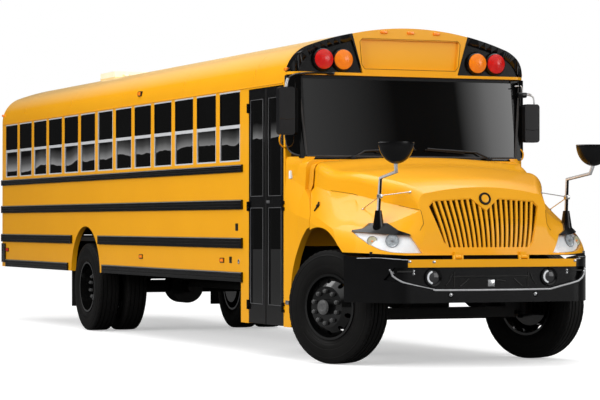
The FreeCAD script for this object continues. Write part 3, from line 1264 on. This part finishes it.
def rounded(before, corner, after, reach):
    """An arc that takes off a corner, with the straight end left before it."""
    start = corner + (before - corner).normalize() * reach
    end = corner + (after - corner).normalize() * reach
    return start, end, Part.Arc(start, (start + end) / 4 + corner / 2, end).toShape()


def dome_wire(section, inset, low):
    """One section of the domed loft down to a height, drawn a distance inside its outer face."""
    ahead, crown = value(section[0]), value(section[1]) - inset
    x = size("front_axle") + ahead
    edge, valley, crest, flank = [Vector(x, value(section[i]) - inset, value(section[i + 1]) - inset)
                                  for i in (2, 4, 6, 8)]
    top = Vector(x, 0, crown)
    foot = Vector(x, flank.y, value(low))
    start, end, corner = rounded(Vector(x, edge.y * 0.6, edge.z + (crown - edge.z) * 0.55), edge, valley,
                                 size("dome_corner"))
    half = [corner, Part.makeLine(end, valley), Part.Arc(valley, crest, flank).toShape(),
            Part.makeLine(flank, foot)]
    right, low = Vector(x, -start.y, start.z), Vector(x, -foot.y, foot.z)
    return mirrored_wire(half, [Part.Arc(start, top, right).toShape(), Part.makeLine(foot, low)])


def nose_wire(section, inset):
    """One section of the upright loft, drawn a distance inside its outer face."""
    z, middle = value(section[0]), size("front_axle") + value(section[1]) - inset
    corners = [Vector(size("front_axle") + section[i] - inset, section[i + 1] - inset, z) for i in (2, 4, 6, 8)]
    nose, bend, front, side = corners
    rear = Vector(size("front_axle") - size("hood_rear_back") - size("nose_overrun"),
                  size("body_half") - inset, z)
    half = [Part.Arc(nose, bend, front).toShape(), Part.makeLine(front, side), Part.makeLine(side, rear)]
    right = Vector(nose.x, -nose.y, z)
    return mirrored_wire(half, [Part.Arc(nose, Vector(middle, 0, z), right).toShape(),
                                Part.makeLine(rear, Vector(rear.x, -rear.y, z))])


def hood_form(inset):
    """The hood's outline as a solid, a distance inside its outer face."""
    dome = Part.makeLoft([dome_wire(section, inset, "hood_low - 2 * hood_skin") for section in DOME_SECTIONS],
                         True, False)
    nose = Part.makeLoft([nose_wire(section, inset) for section in NOSE_SECTIONS], True, False)
    return dome.common(nose)


# ================================================================ windshield, cowl and doorway
PILLAR = [("door_front", "glass_low"), ("firewall + glass_thick", "glass_low"),
          ("front_axle - glass_top_back + glass_thick", "cap_low"), ("door_front", "cap_low")]
front_frame = [
    box("windshield_header", ("door_front", "front_axle - glass_top_back"), INNER, ("header_low", "cap_low")),
]
for side_name, side in SIDES:
    front_frame.append(prism(f"windshield_pillar_{side_name}", "y", between(side, "glass_half", "inner_half"),
                             [PILLAR]))
front_frame.append(box("driver_side_post", ("door_front", "door_front + doorway_post"),
                       between(1, "inner_half", "body_half"), ("skirt_low", "cap_low")))
POST_CORNER = [("door_front + doorway_post", "body_half - post_turn"), ("front_axle", "glass_half"),
               ("front_axle", "body_half + wall"), ("door_front + doorway_post", "body_half + wall")]
post_cuts = [prism(f"windshield_corner_cut_{side_name}", "z", ("door_low", "roof_top"), [
    [(ahead, f"{side} * ({across})") for ahead, across in POST_CORNER][::side]]) for side_name, side in SIDES]
keep("windshield_frame", cut("windshield_frame_body", fuse("windshield_frame_solid", front_frame),
                             fuse("windshield_corner_cuts", post_cuts)))
panes.append(prism("windshield_pane", "y", ("0 - glass_half", "glass_half"), [[
    ("firewall", "glass_low"), ("firewall + glass_thick", "glass_low"),
    ("front_axle - glass_top_back + glass_thick", "header_low"),
    ("front_axle - glass_top_back", "header_low")]]))
keep("window_panes", group("window_panes_all", panes))

# The cowl narrows from the windshield's posts to the hood, in sections like the hood's own.
COWL_SECTIONS = (
    ("0 - cowl_rear_back", "glass_low", "body_half - 24", "glass_low - 10", "body_half - 8", 1700,
     "body_half - 2", 1600, "body_half", 1400),
    ("0 - cowl_corner_back", "glass_low - 6", "cowl_corner_half - 12", "glass_low - 14", "cowl_corner_half",
     1590,
     "cowl_corner_half + 32", 1480, "body_half - 24", 1330),
) + DOME_SECTIONS[1:2]
# The seam between cowl and hood, from its top down: distance behind the front axle and height.
SEAM = (("hood_rear_back", "roof_top"), ("hood_rear_back", "seam_shoulder"), ("seam_mid_back", "seam_mid"),
        ("seam_turn_back", "seam_turn"), ("fender_seam_back", "seam_foot"))
REAR_EDGE = "front_axle - cowl_rear_back"


def cowl_form(inset):
    """The cowl's outline as a solid, a distance inside its outer face."""
    return Part.makeLoft([dome_wire(section, inset, "door_low") for section in COWL_SECTIONS], True, True)


wall = size("wall")
cowl_room = Part.makeBox(value("firewall - wall / 2") - value(REAR_EDGE), 2 * size("inner_half"),
                         size("roof_top"),
                         Vector(value(REAR_EDGE), -size("inner_half"), 0))
firewall_plate = Part.makeBox(wall / 2, 2 * size("body_half"), size("glass_low") - size("floor_low"),
                              Vector(value("firewall - wall / 2"), -size("body_half"), size("floor_low")))
cowl_outer = cowl_form(0)
cowl_shell = cowl_outer.cut([cowl_form(wall), cowl_room])
wheel_cut = prism("cowl_wheel_cut", "y", ("0 - body_half - wall", "body_half + wall"), [[
    ("front_axle - post_front_back", "door_low - wall"), ("front_axle", "door_low - wall"),
    ("front_axle", "roof_top"),
] + [(f"front_axle - {back} - clearance", height) for back, height in SEAM] + [
    ("front_axle - arch_head_back", "arch_head", "front_arch_radius"),
    ("front_axle - post_front_back", "arch_foot"),
]])
doc.recompute()
cowl_solid = cowl_shell.cut([wheel_cut.Shape]).fuse(firewall_plate.common(cowl_outer).cut([wheel_cut.Shape]))
keep("cowl", shape("cowl_solid", cowl_solid.removeSplitter()))

RIGHT_WALL = between(-1, "inner_half", "body_half")
LEAF_HINGE_Y = "0 - body_half - 2 * hinge_pin"
LEAF_HINGES = ("door_low + bracket * 3", "(door_low + door_top) / 2", "door_top - bracket * 3")
rear_post, rear_leaf = hinges("leaf_rear_hinge", {"x": "door_rear + clearance / 2", "y": LEAF_HINGE_Y},
                              ("x", 1),
                              ("y", 1), LEAF_HINGES)
front_post, front_leaf = hinges("leaf_front_hinge", {"x": "door_front - clearance / 2", "y": LEAF_HINGE_Y},
                                ("x", -1),
                                ("y", 1), LEAF_HINGES)
keep("doorway", fuse("doorway_solid", [
    box("doorway_rear_post", ("side_front", "door_rear"), RIGHT_WALL, ("door_low", "drip")),
    box("doorway_header", ("door_rear", "door_front"), RIGHT_WALL, ("door_top", "drip")),
    box("doorway_front_post", ("door_front", "door_front + doorway_post"), RIGHT_WALL, ("door_low", "cap_low")),
] + rear_post + front_post))


# ================================================================ entrance door
LEAVES = (("rear", "door_rear + clearance", "door_middle - clearance / 2", "leaf_stile", "leaf_gasket"),
          ("front", "door_middle + clearance / 2", "door_front - clearance", "leaf_gasket", "leaf_stile"))
LEAF_ACROSS = between(-1, "body_half - leaf_depth", "body_half")
LEAF_GLASS = between(-1, "body_half - pane_in - pane", "body_half - pane_in")
LEAF_PANES = (("lower", "leaf_glass_low", "leaf_mid_low"), ("upper", "leaf_mid_top", "leaf_glass_top"))
for name, rear_edge, front_edge, rear_stile, front_stile in LEAVES:
    glass = (f"{rear_edge} + {rear_stile}", f"{front_edge} - {front_stile}")
    leaf = prism(f"door_leaf_{name}_body", "y", LEAF_ACROSS, [
        rectangle((rear_edge, front_edge), ("door_low + clearance", "door_top - clearance"))
    ] + [rectangle(glass, (low, top)) for level, low, top in LEAF_PANES])
    keep(f"door_leaf_{name}",
         fuse(f"door_leaf_{name}_solid", [leaf] + (rear_leaf if name == "rear" else front_leaf)))
    keep(f"door_panes_{name}", group(f"door_panes_{name}_pair", [
        box(f"door_pane_{name}_{level}", glass, LEAF_GLASS, (low, top)) for level, low, top in LEAF_PANES]))


# ================================================================ hood
def across_bus(outline, low, high):
    """A solid along the bus from an outline of points across and up, mirrored where it is given for one side."""
    solids = []
    for side in (1, -1):
        corners = [Vector(low, side * across, up) for across, up in outline]
        face = Part.Face(Part.makePolygon(corners + corners[:1]))
        solids.append(face.extrude(Vector(high - low, 0, 0)))
    return solids


skin = size("hood_skin")
x_axle = size("front_axle")
x_front = x_axle + size("hood_nose_ahead") + skin
width = size("body_half")
outer, inner = hood_form(0), hood_form(skin)
arch = Part.makeCylinder(size("front_arch_radius"), 2 * width, Vector(x_axle, -width, size("tyre_radius")),
                         Vector(0, 1, 0))
under = prism("hood_underside_cut", "x", ("0", "2 * front_axle"), [[
    ("0 - body_half", "0"), ("body_half", "0"), ("body_half", "hood_low + hood_sweep"),
    ("bumper_flat_half", "hood_low"), ("0 - bumper_flat_half", "hood_low"),
    ("0 - body_half", "hood_low + hood_sweep")]])
FAR = "front_axle - 2 * cowl_rear_back"
behind = prism("hood_seam_cut", "y", ("0 - body_half", "body_half"), [
    [(FAR, "0"), ("front_axle - fender_seam_back", "0")]
    + [(f"front_axle - {back}", height) for back, height in reversed(SEAM)] + [(FAR, "roof_top")]])
doc.recompute()

# Headlamps: the outline of the left one, half widths and heights.
LAMP = ((640, 1000), (728, 1153), (900, 1163), (1100, 1182), (1093, 1143), (1050, 1077), (980, 1029),
        (905, 1007),
        (800, 1000))
lamp_plugs = across_bus(LAMP, x_axle + size("lamp_rear_ahead"), x_front)

# Grille: the outline of its left half, half widths and heights, with the notch in the middle of its top.
GRILLE = ((0, "grille_low"), ("grille_foot_half - grille_corner", "grille_low"),
          ("grille_foot_half", "grille_low + grille_corner"),
          ("grille_head_half", "grille_head - grille_corner"),
          ("grille_head_half - grille_corner", "grille_head"), ("notch_half", "grille_head + grille_rise"),
          (0, "notch_low"))


def grille_hole(inset):
    """The grille's opening, a distance inside its edge, as one solid."""
    halves = across_bus([(max(value(across) - inset, 0), value(up) + (inset if row < 3 else -inset))
                         for row, (across, up) in enumerate(GRILLE)], x_axle + size("lamp_rear_ahead"), x_front)
    return halves[0].fuse(halves[1])


opening = grille_hole(0)
shell = outer.cut([inner, arch, behind.Shape, under.Shape, opening] + lamp_plugs)
hood_parts = [shape("hood_shell", shell)]
HINGE_X = "front_axle + hinge_ahead"
hood_lugs = []
for side_name, side in SIDES:
    fixed, turning = lying_hinge(f"hood_hinge_{side_name}", HINGE_X, "hinge_height", f"{side} * hinge_half",
                                 "hinge_pin_radius", (("front_axle + hinge_tab_ahead", HINGE_X),
                                                      ("hinge_height + hinge_pin_radius / 2",
                                                       "hood_low + hood_skin")), "bumper_top")
    hood_lugs += fixed
    hood_parts.append(turning)
keep("hood", fuse("hood_solid", hood_parts))

# The grille is a plate set back in its opening, slotted so that body-coloured bars fan out from the middle.
GRILLE_BARS = int(size("grille_bars"))
bars = []
for number in range(-GRILLE_BARS, GRILLE_BARS + 1):
    foot = number * size("grille_foot_half") / (GRILLE_BARS + 1)
    head = number * size("grille_head_half") / (GRILLE_BARS + 1)
    half = size("grille_bar") / 2
    low, high = size("grille_low"), size("hood_rear_top")
    lean = (head - foot) / (size("grille_head") - low)
    corners = [Vector(x_axle, foot - half, low), Vector(x_axle, foot + half, low),
               Vector(x_axle, foot + half + lean * (high - low), high),
               Vector(x_axle, foot - half + lean * (high - low), high)]
    bars.append(Part.Face(Part.makePolygon(corners + corners[:1])).extrude(Vector(x_front - x_axle, 0, 0)))
face, rear = outer.copy(), inner.copy()
face.translate(Vector(-size("grille_set_back"), 0, 0))
plate = opening.common(face).cut(rear)
keep("grille", shape("grille_solid", plate.cut(grille_hole(size("grille_rim")).cut(bars))))


def strut(start, end, radius):
    """A round bar between two points."""
    way = end - start
    return Part.makeCylinder(radius, way.Length, start, way)


def point(ahead, across, up):
    """A point from formulas: distance ahead of the front axle, across and up."""
    return Vector(size("front_axle") + value(ahead), value(across), value(up))


# Crossview mirrors: points up each stalk from its tower to the head, ahead, off the middle and up.
STALK = (
    ("tower_ahead", "tower_half", "tower_top - wall"),
    ("tower_ahead + 30", "tower_half - 6", "stalk_knee"),
    ("crossview_ahead - 30", "crossview_half - 14", "stalk_turn"),
    ("crossview_ahead - 8", "crossview_half", "stalk_turn + 60"),
    ("crossview_ahead", "crossview_half", "crossview_height"))
# The shroud above the left headlamp: half widths and heights.
SHROUD = ((1106, 1186), (1100, 1200), (1035, 1216), (970, 1262), (870, 1262), (820, 1200), (735, 1164),
          (728, 1153),
          (900, 1163))
skins = across_bus(SHROUD, x_axle + size("lamp_rear_ahead"), x_front)
cover = outer.copy()
cover.translate(Vector(size("shroud_skin"), 0, size("shroud_skin") / 2))
heads = []
for (side_name, side), skirt in zip(SIDES, skins):
    route = [point(ahead, f"{side} * ({across})", up) for ahead, across, up in STALK]
    bars = [strut(route[i], route[i + 1], size("stalk_radius")) for i in range(len(route) - 1)]
    bars += [Part.makeSphere(size("stalk_radius"), corner) for corner in route[1:-1]]
    bowl = Matrix()
    bowl.scale(size("crossview_reach"), size("crossview_radius"), size("crossview_bowl"))
    head = Part.makeSphere(1, Vector(0, 0, 0), Vector(0, 0, 1), -90, 0, 360).transformGeometry(bowl)
    head.translate(route[-1])
    tower = Part.makeCone(size("tower_foot"), size("tower_head"), size("tower_height"),
                          point("tower_ahead", f"{side} * tower_half", "tower_top - tower_height"))
    heads.append(shape(f"crossview_mirror_{side_name}",
                       bars[0].fuse(bars[1:] + [head, tower, skirt.common(cover)]).cut(outer)))
keep("crossview_mirrors", group("crossview_mirrors_pair", heads))


# ================================================================ bumpers
BUMPER_FACE = "front_axle + bumper_ahead"
BUMPER_BACK = "front_axle + bumper_ahead - bumper_depth"
BUMPER_TURN = ("front_axle + bumper_turn_ahead", "bumper_turn_half")
BUMPER_TIP = "front_axle + bumper_tip_ahead"
BUMPER_PLAN = [
    (BUMPER_FACE, "0 - bumper_flat_half"), (BUMPER_FACE, "bumper_flat_half", "bumper_bend"),
    BUMPER_TURN + ("bumper_sweep",), (BUMPER_TIP, "bumper_half"),
    (BUMPER_TIP, "bumper_half - bumper_skin"), (BUMPER_BACK, "bumper_flat_half"),
    (BUMPER_BACK, "0 - bumper_flat_half"), (BUMPER_TIP, "bumper_skin - bumper_half"),
    (BUMPER_TIP, "0 - bumper_half", "bumper_sweep"), (BUMPER_TURN[0], f"0 - {BUMPER_TURN[1]}", "bumper_bend"),
]
# The ends stand higher than the middle, and the face is recessed below its top strip.
bumper_ends = cut("bumper_ends", prism("bumper_raised", "z", ("bumper_low", "bumper_end_top"), [BUMPER_PLAN]),
                  fuse("bumper_end_cuts", [
                      box("bumper_middle", (f"{BUMPER_BACK} - wall", f"{BUMPER_FACE} + wall"),
                          ("0 - strip_half", "strip_half"), ("bumper_low - wall", "bumper_end_top + wall")),
                      prism("bumper_slope", "y", ("0 - body_half", "body_half"), [[
                          (BUMPER_TIP, "bumper_end_top"), (BUMPER_FACE, "bumper_top"),
                          (f"{BUMPER_FACE} + wall", "bumper_top"),
                          (f"{BUMPER_FACE} + wall", "bumper_end_top + wall"),
                          (BUMPER_TIP, "bumper_end_top + wall")]])]))
bumper_beam = prism("bumper_beam", "z", ("bumper_low", "bumper_top"), [BUMPER_PLAN])
RECESS = [(f"{side} * {across}", up) for side, across, up in (
    (-1, "lip_half", "strip_low"), (-1, "lip_half - lip_slope", "lip_low + lip_rise"),
    (-1, "lip_flat_half", "lip_low"),
    (1, "lip_flat_half", "lip_low"), (1, "lip_half - lip_slope", "lip_low + lip_rise"),
    (1, "lip_half", "strip_low"))]
bumper_core = prism("bumper_core", "z", ("bumper_low", "bumper_top"), [BUMPER_PLAN])
place(bumper_core, "0 - lip_depth")
bumper_recess = cut("bumper_recess",
                    prism("bumper_recess_block", "x", (BUMPER_TIP, f"{BUMPER_FACE} + wall"), [RECESS]),
                    bumper_core)
bumper = [cut("bumper_face", fuse("bumper_whole", [bumper_beam, bumper_ends]), bumper_recess)] + hood_lugs
bores = [rod(f"tow_bore_{side_name}", "x", "tow_bore", (BUMPER_BACK, f"{side} * tow_half", "tow_height"),
             "bumper_depth") for side_name, side in SIDES]
keep("front_bumper", cut("front_bumper_bored", fuse("front_bumper_solid", bumper), group("tow_bores", bores)))
keep("rear_bumper", prism("rear_bumper_body", "z", ("rear_bumper_low", "rear_bumper_top"), [[
    ("front_axle - bumper_back", "0 - body_half"),
    ("rear_outer + rear_bumper_wrap", "0 - body_half - rub_rail_depth"),
    ("rear_outer + rear_bumper_wrap", "0 - body_half"), ("rear_outer", "0 - body_half"),
    ("rear_outer", "body_half"), ("rear_outer + rear_bumper_wrap", "body_half"),
    ("rear_outer + rear_bumper_wrap", "body_half + rub_rail_depth"),
    ("front_axle - bumper_back", "body_half")]]))


# ================================================================ lamps
def lamp(name, across, height, radius, way):
    """A round lamp on a panel of the cap or on the rear wall."""
    face = "cap_front - panel_recess + panel_skin" if way > 0 else "rear_outer"
    start = face if way > 0 else f"{face} - lamp_depth"
    return rod(name, "x", radius, (start, across, height), "lamp_depth")


for colour, across in (("red", "red_lamp_half"), ("amber", "amber_lamp_half")):
    lamps = []
    for side_name, side in SIDES:
        lamps.append(lamp(f"{colour}_lamp_front_{side_name}", f"{side} * {across}", "lamp_height",
                          "lamp_radius", 1))
        lamps.append(lamp(f"{colour}_lamp_rear_{side_name}", f"{side} * {across}", "lamp_height - wall",
                          "lamp_radius", -1))
    if colour == "red":
        for side_name, side in SIDES:
            lamps.append(lamp(f"tail_lamp_{side_name}", f"{side} * tail_lamp_half", "tail_lamp_height",
                              "tail_lamp_radius", -1))
    keep(f"{colour}_lamps", group(f"{colour}_lamps_all", lamps))

keep("lamp_panels", group("lamp_panels_pair", [
    prism(f"lamp_panel_{side_name}", "x", ("cap_front - panel_recess", "cap_front - panel_recess + panel_skin"),
          [panel_outline("1" if side > 0 else "(0 - 1)", "0")]) for side_name, side in SIDES]))
headlamps = [shape(f"headlamp_{side_name}", plug.common(outer).cut(inner))
             for (side_name, side), plug in zip(SIDES, lamp_plugs)]
keep("headlamps", group("headlamps_pair", headlamps))


# ================================================================ mirrors and wipers
# Columns: side, middle of the head from the middle of the bus, lower and upper edge of the head.
MIRRORS = (("left", 1, "mirror_half - mirror_inset", "mirror_low - mirror_drop", "mirror_top - mirror_short"),
           ("right", -1, "mirror_half", "mirror_low", "mirror_top"))
mirrors = []
for side_name, side, middle, head_low, head_top in MIRRORS:
    across = between(side, f"{middle} - mirror_width / 2", f"{middle} + mirror_width / 2")
    parts = [rounded_block(f"mirror_head_{side_name}",
                           ("front_axle - mirror_back", "front_axle - mirror_back + mirror_depth"), across,
                           (head_low, head_top), "mirror_round")]
    foot = between(side, "inner_half", "inner_half + rail_gauge")
    for level, height in (("upper", f"{head_top} - mirror_depth"), ("lower", f"{head_low} + mirror_depth")):
        parts.append(box(f"mirror_foot_{level}_{side_name}", ("door_front + doorway_post + clearance",
                                                              "door_front + doorway_post + mirror_foot"), foot,
                         (f"{height} - bracket / 2", f"{height} + bracket / 2")))
        start = Vector(value("door_front + doorway_post + mirror_foot / 2"),
                       side * value("inner_half + rail_gauge / 2"), value(height))
        end = point("mirror_depth / 2 - mirror_back", f"{side} * ({middle})", height)
        parts.append(shape(f"mirror_arm_{level}_{side_name}", strut(start, end, size("stalk_radius")).cut(
            Part.makeBox(size("bracket") * 2, 2 * size("inner_half"), size("bracket") * 2,
                         Vector(start.x - size("bracket"), -size("inner_half"), start.z - size("bracket"))))))
    mirrors.append(fuse(f"side_mirror_{side_name}", parts))
keep("side_mirrors", group("side_mirrors_pair", mirrors))

doc.recompute()
# Columns: side, way from pivot to tip, pivot, elbow and tip from the middle.
WIPERS = (("left", "wiper_left_half", "wiper_left_half - elbow_reach", "wiper_left_half - wiper_reach"),
          ("right", "0 - wiper_right_half", "elbow_reach - wiper_right_half", "wiper_reach - wiper_right_half"))
blades = []
for side_name, pivot, elbow, end in WIPERS:
    foot = point("0 - wiper_back", pivot, "wiper_height")
    bend = point("0 - wiper_tip_back", elbow, "elbow_height")
    tip = point("0 - wiper_tip_back", end, "wiper_tip_height")
    wiper = strut(foot, bend, size("wiper_radius")).fuse([
        strut(bend, tip, size("wiper_radius")), Part.makeSphere(size("wiper_radius"), bend),
        Part.makeSphere(size("wiper_radius") * 2, foot),
        strut(foot, foot - Vector(0, 0, size("bracket")), size("wiper_radius"))])
    blades.append(shape(f"wiper_{side_name}", wiper.cut(cowl_outer)))
keep("wipers", group("wipers_pair", blades))


# ================================================================ inside
benches = []
for side_name, side in SIDES:
    bench = new_body(f"seats_{side_name}")
    back_x = "rear_outer + wall + seat_first"
    cushion = pad(bench, "seat", "y", between(side, "aisle_half", "inner_half - clearance"), [[
        (back_x, "seat_top - seat_thick"), (f"{back_x} + seat_depth", "seat_top - seat_thick"),
        (f"{back_x} + seat_depth", "seat_top"), (f"{back_x} + seat_back", "seat_top"),
        (f"{back_x} + seat_back * 0.6", "seat_head"), (f"{back_x} - seat_back * 0.4", "seat_head")]])
    legs = pad(bench, "leg", "y",
               between(side, "aisle_half + seat_back", "aisle_half + seat_back + rail_gauge * 3"), [
        rectangle((f"{back_x} + seat_back", f"{back_x} + seat_depth - seat_back"),
                  ("floor_top", "seat_top - seat_thick"))])
    doc.recompute()
    along_bus(bench, [cushion, legs], "seat_pitch", "seat_count")
    benches.append(bench)
driver_seat = fuse("driver_seat_solid", [
    box("driver_cushion", ("front_axle - driver_back - seat_depth", "front_axle - driver_back"),
        ("driver_half - seat_depth / 2", "driver_half + seat_depth / 2"),
        ("driver_seat_top - seat_thick", "driver_seat_top")),
    box("driver_backrest",
        ("front_axle - driver_back - seat_depth - seat_back", "front_axle - driver_back - seat_depth"),
        ("driver_half - seat_depth / 2", "driver_half + seat_depth / 2"),
        ("driver_seat_top - seat_thick", "seat_head + seat_back")),
    box("driver_pedestal",
        ("front_axle - driver_back - seat_depth * 0.8", "front_axle - driver_back - seat_depth * 0.3"),
        ("driver_half - seat_back", "driver_half + seat_back"), ("floor_top", "driver_seat_top - seat_thick")),
])
keep("seats", group("seats_all", benches + [driver_seat]))
wheel_centre = point("0 - steering_back", "driver_half", "steering_height")
wheel_tilt = Vector(math.sin(math.radians(size("steering_tilt"))), 0,
                    -math.cos(math.radians(size("steering_tilt"))))
column = strut(wheel_centre, wheel_centre + wheel_tilt * size("steering_column"), size("stalk_radius") * 1.5)
rim = Part.makeTorus(size("steering_radius"), size("stalk_radius") * 0.8, wheel_centre, wheel_tilt)
spoke = strut(wheel_centre - Vector(0, size("steering_radius"), 0),
              wheel_centre + Vector(0, size("steering_radius"), 0),
              size("stalk_radius") * 0.7)
dash = box("dash_panel", ("firewall - wall / 2 - dash_depth", "firewall - wall / 2"),
           ("door_well - inner_half", "cowl_half - wall - clearance"), ("dash_low", "dash_top"))
keep("dashboard", fuse("dashboard_solid", [dash, shape("steering_wheel", column.fuse([rim, spoke]))]))


# ================================================================ stop arm, roof hatch and mud flaps
octagon_cut = "stop_arm_size * 0.293"
STOP_X = "front_axle - stop_arm_back"
corners = []
for u, v in ((1, 0), (0, 1), (0, 2), (1, 3), (2, 3), (3, 2), (3, 1), (2, 0)):
    steps = ("0", octagon_cut, f"stop_arm_size - {octagon_cut}", "stop_arm_size")
    corners.append((f"{STOP_X} - {steps[u]}", f"stop_arm_low + {steps[v]}"))
blade = prism("stop_blade", "y", ("stop_blade_in", "stop_blade_in + stop_blade_thick"), [corners])
STOP_LINE = {"x": f"{STOP_X} + 2 * hinge_pin", "y": "stop_blade_in + 2 * hinge_pin"}
arm_fixed, arm_moving = hinges("stop_arm_hinge", STOP_LINE, ("x", -1), ("y", -1),
                               ("stop_arm_low + stop_arm_size * 0.3", "stop_arm_low + stop_arm_size * 0.7"))
keep("stop_arm", fuse("stop_arm_solid", [blade] + arm_moving))
bracket_x = (f"{STOP_X} + 2 * hinge_pin", f"{STOP_X} + 2 * hinge_pin + bracket * 2")
keep("stop_arm_bracket", fuse("stop_arm_bracket_solid", [
    box("stop_bracket_upper", bracket_x, ("body_half", "stop_blade_in"),
        ("stop_arm_low + stop_arm_size * 0.2", "rub_seat_low")),
    box("stop_bracket_lower", bracket_x, ("body_half", "stop_blade_in"),
        ("rub_seat_top", "stop_arm_low + stop_arm_size * 0.8")),
    box("stop_bracket_face", bracket_x, ("body_half + rub_rail_depth", "stop_blade_in"),
        ("stop_arm_low + stop_arm_size * 0.2", "stop_arm_low + stop_arm_size * 0.8")),
] + arm_fixed))

lid = box("roof_hatch_lid", HATCH_LENGTH, HATCH_WIDTH, (LID_LOW, "roof_top + hatch_height"))
keep("roof_hatch", fuse("roof_hatch_solid", [lid] + hatch_eyes))
flaps = []
for side_name, side in SIDES:
    flaps.append(box(f"mud_flap_{side_name}", ("rear_axle - flap_back - rail_gauge", "rear_axle - flap_back"),
                     between(side, "rear_outer_half - dual_spacing - tread_half", "inner_half - clearance"),
                     ("flap_low", "floor_low")))
keep("mud_flaps", group("mud_flaps_pair", flaps))


# ================================================================ check and write
doc.recompute()
for item in doc.Objects:
    faults = {"Invalid", "Error"} & set(item.State)
    if faults:
        raise RuntimeError(f"{item.Name} failed: {sorted(faults)}")
os.makedirs("parts", exist_ok=True)
for name, item in pieces.items():
    if item.Shape.isNull() or not item.Shape.isValid():
        raise RuntimeError(f"{name} has no valid shape")
for name, item in pieces.items():
    item.Shape.exportStep(f"parts/{name}.step")
print(len(pieces), "pieces written")
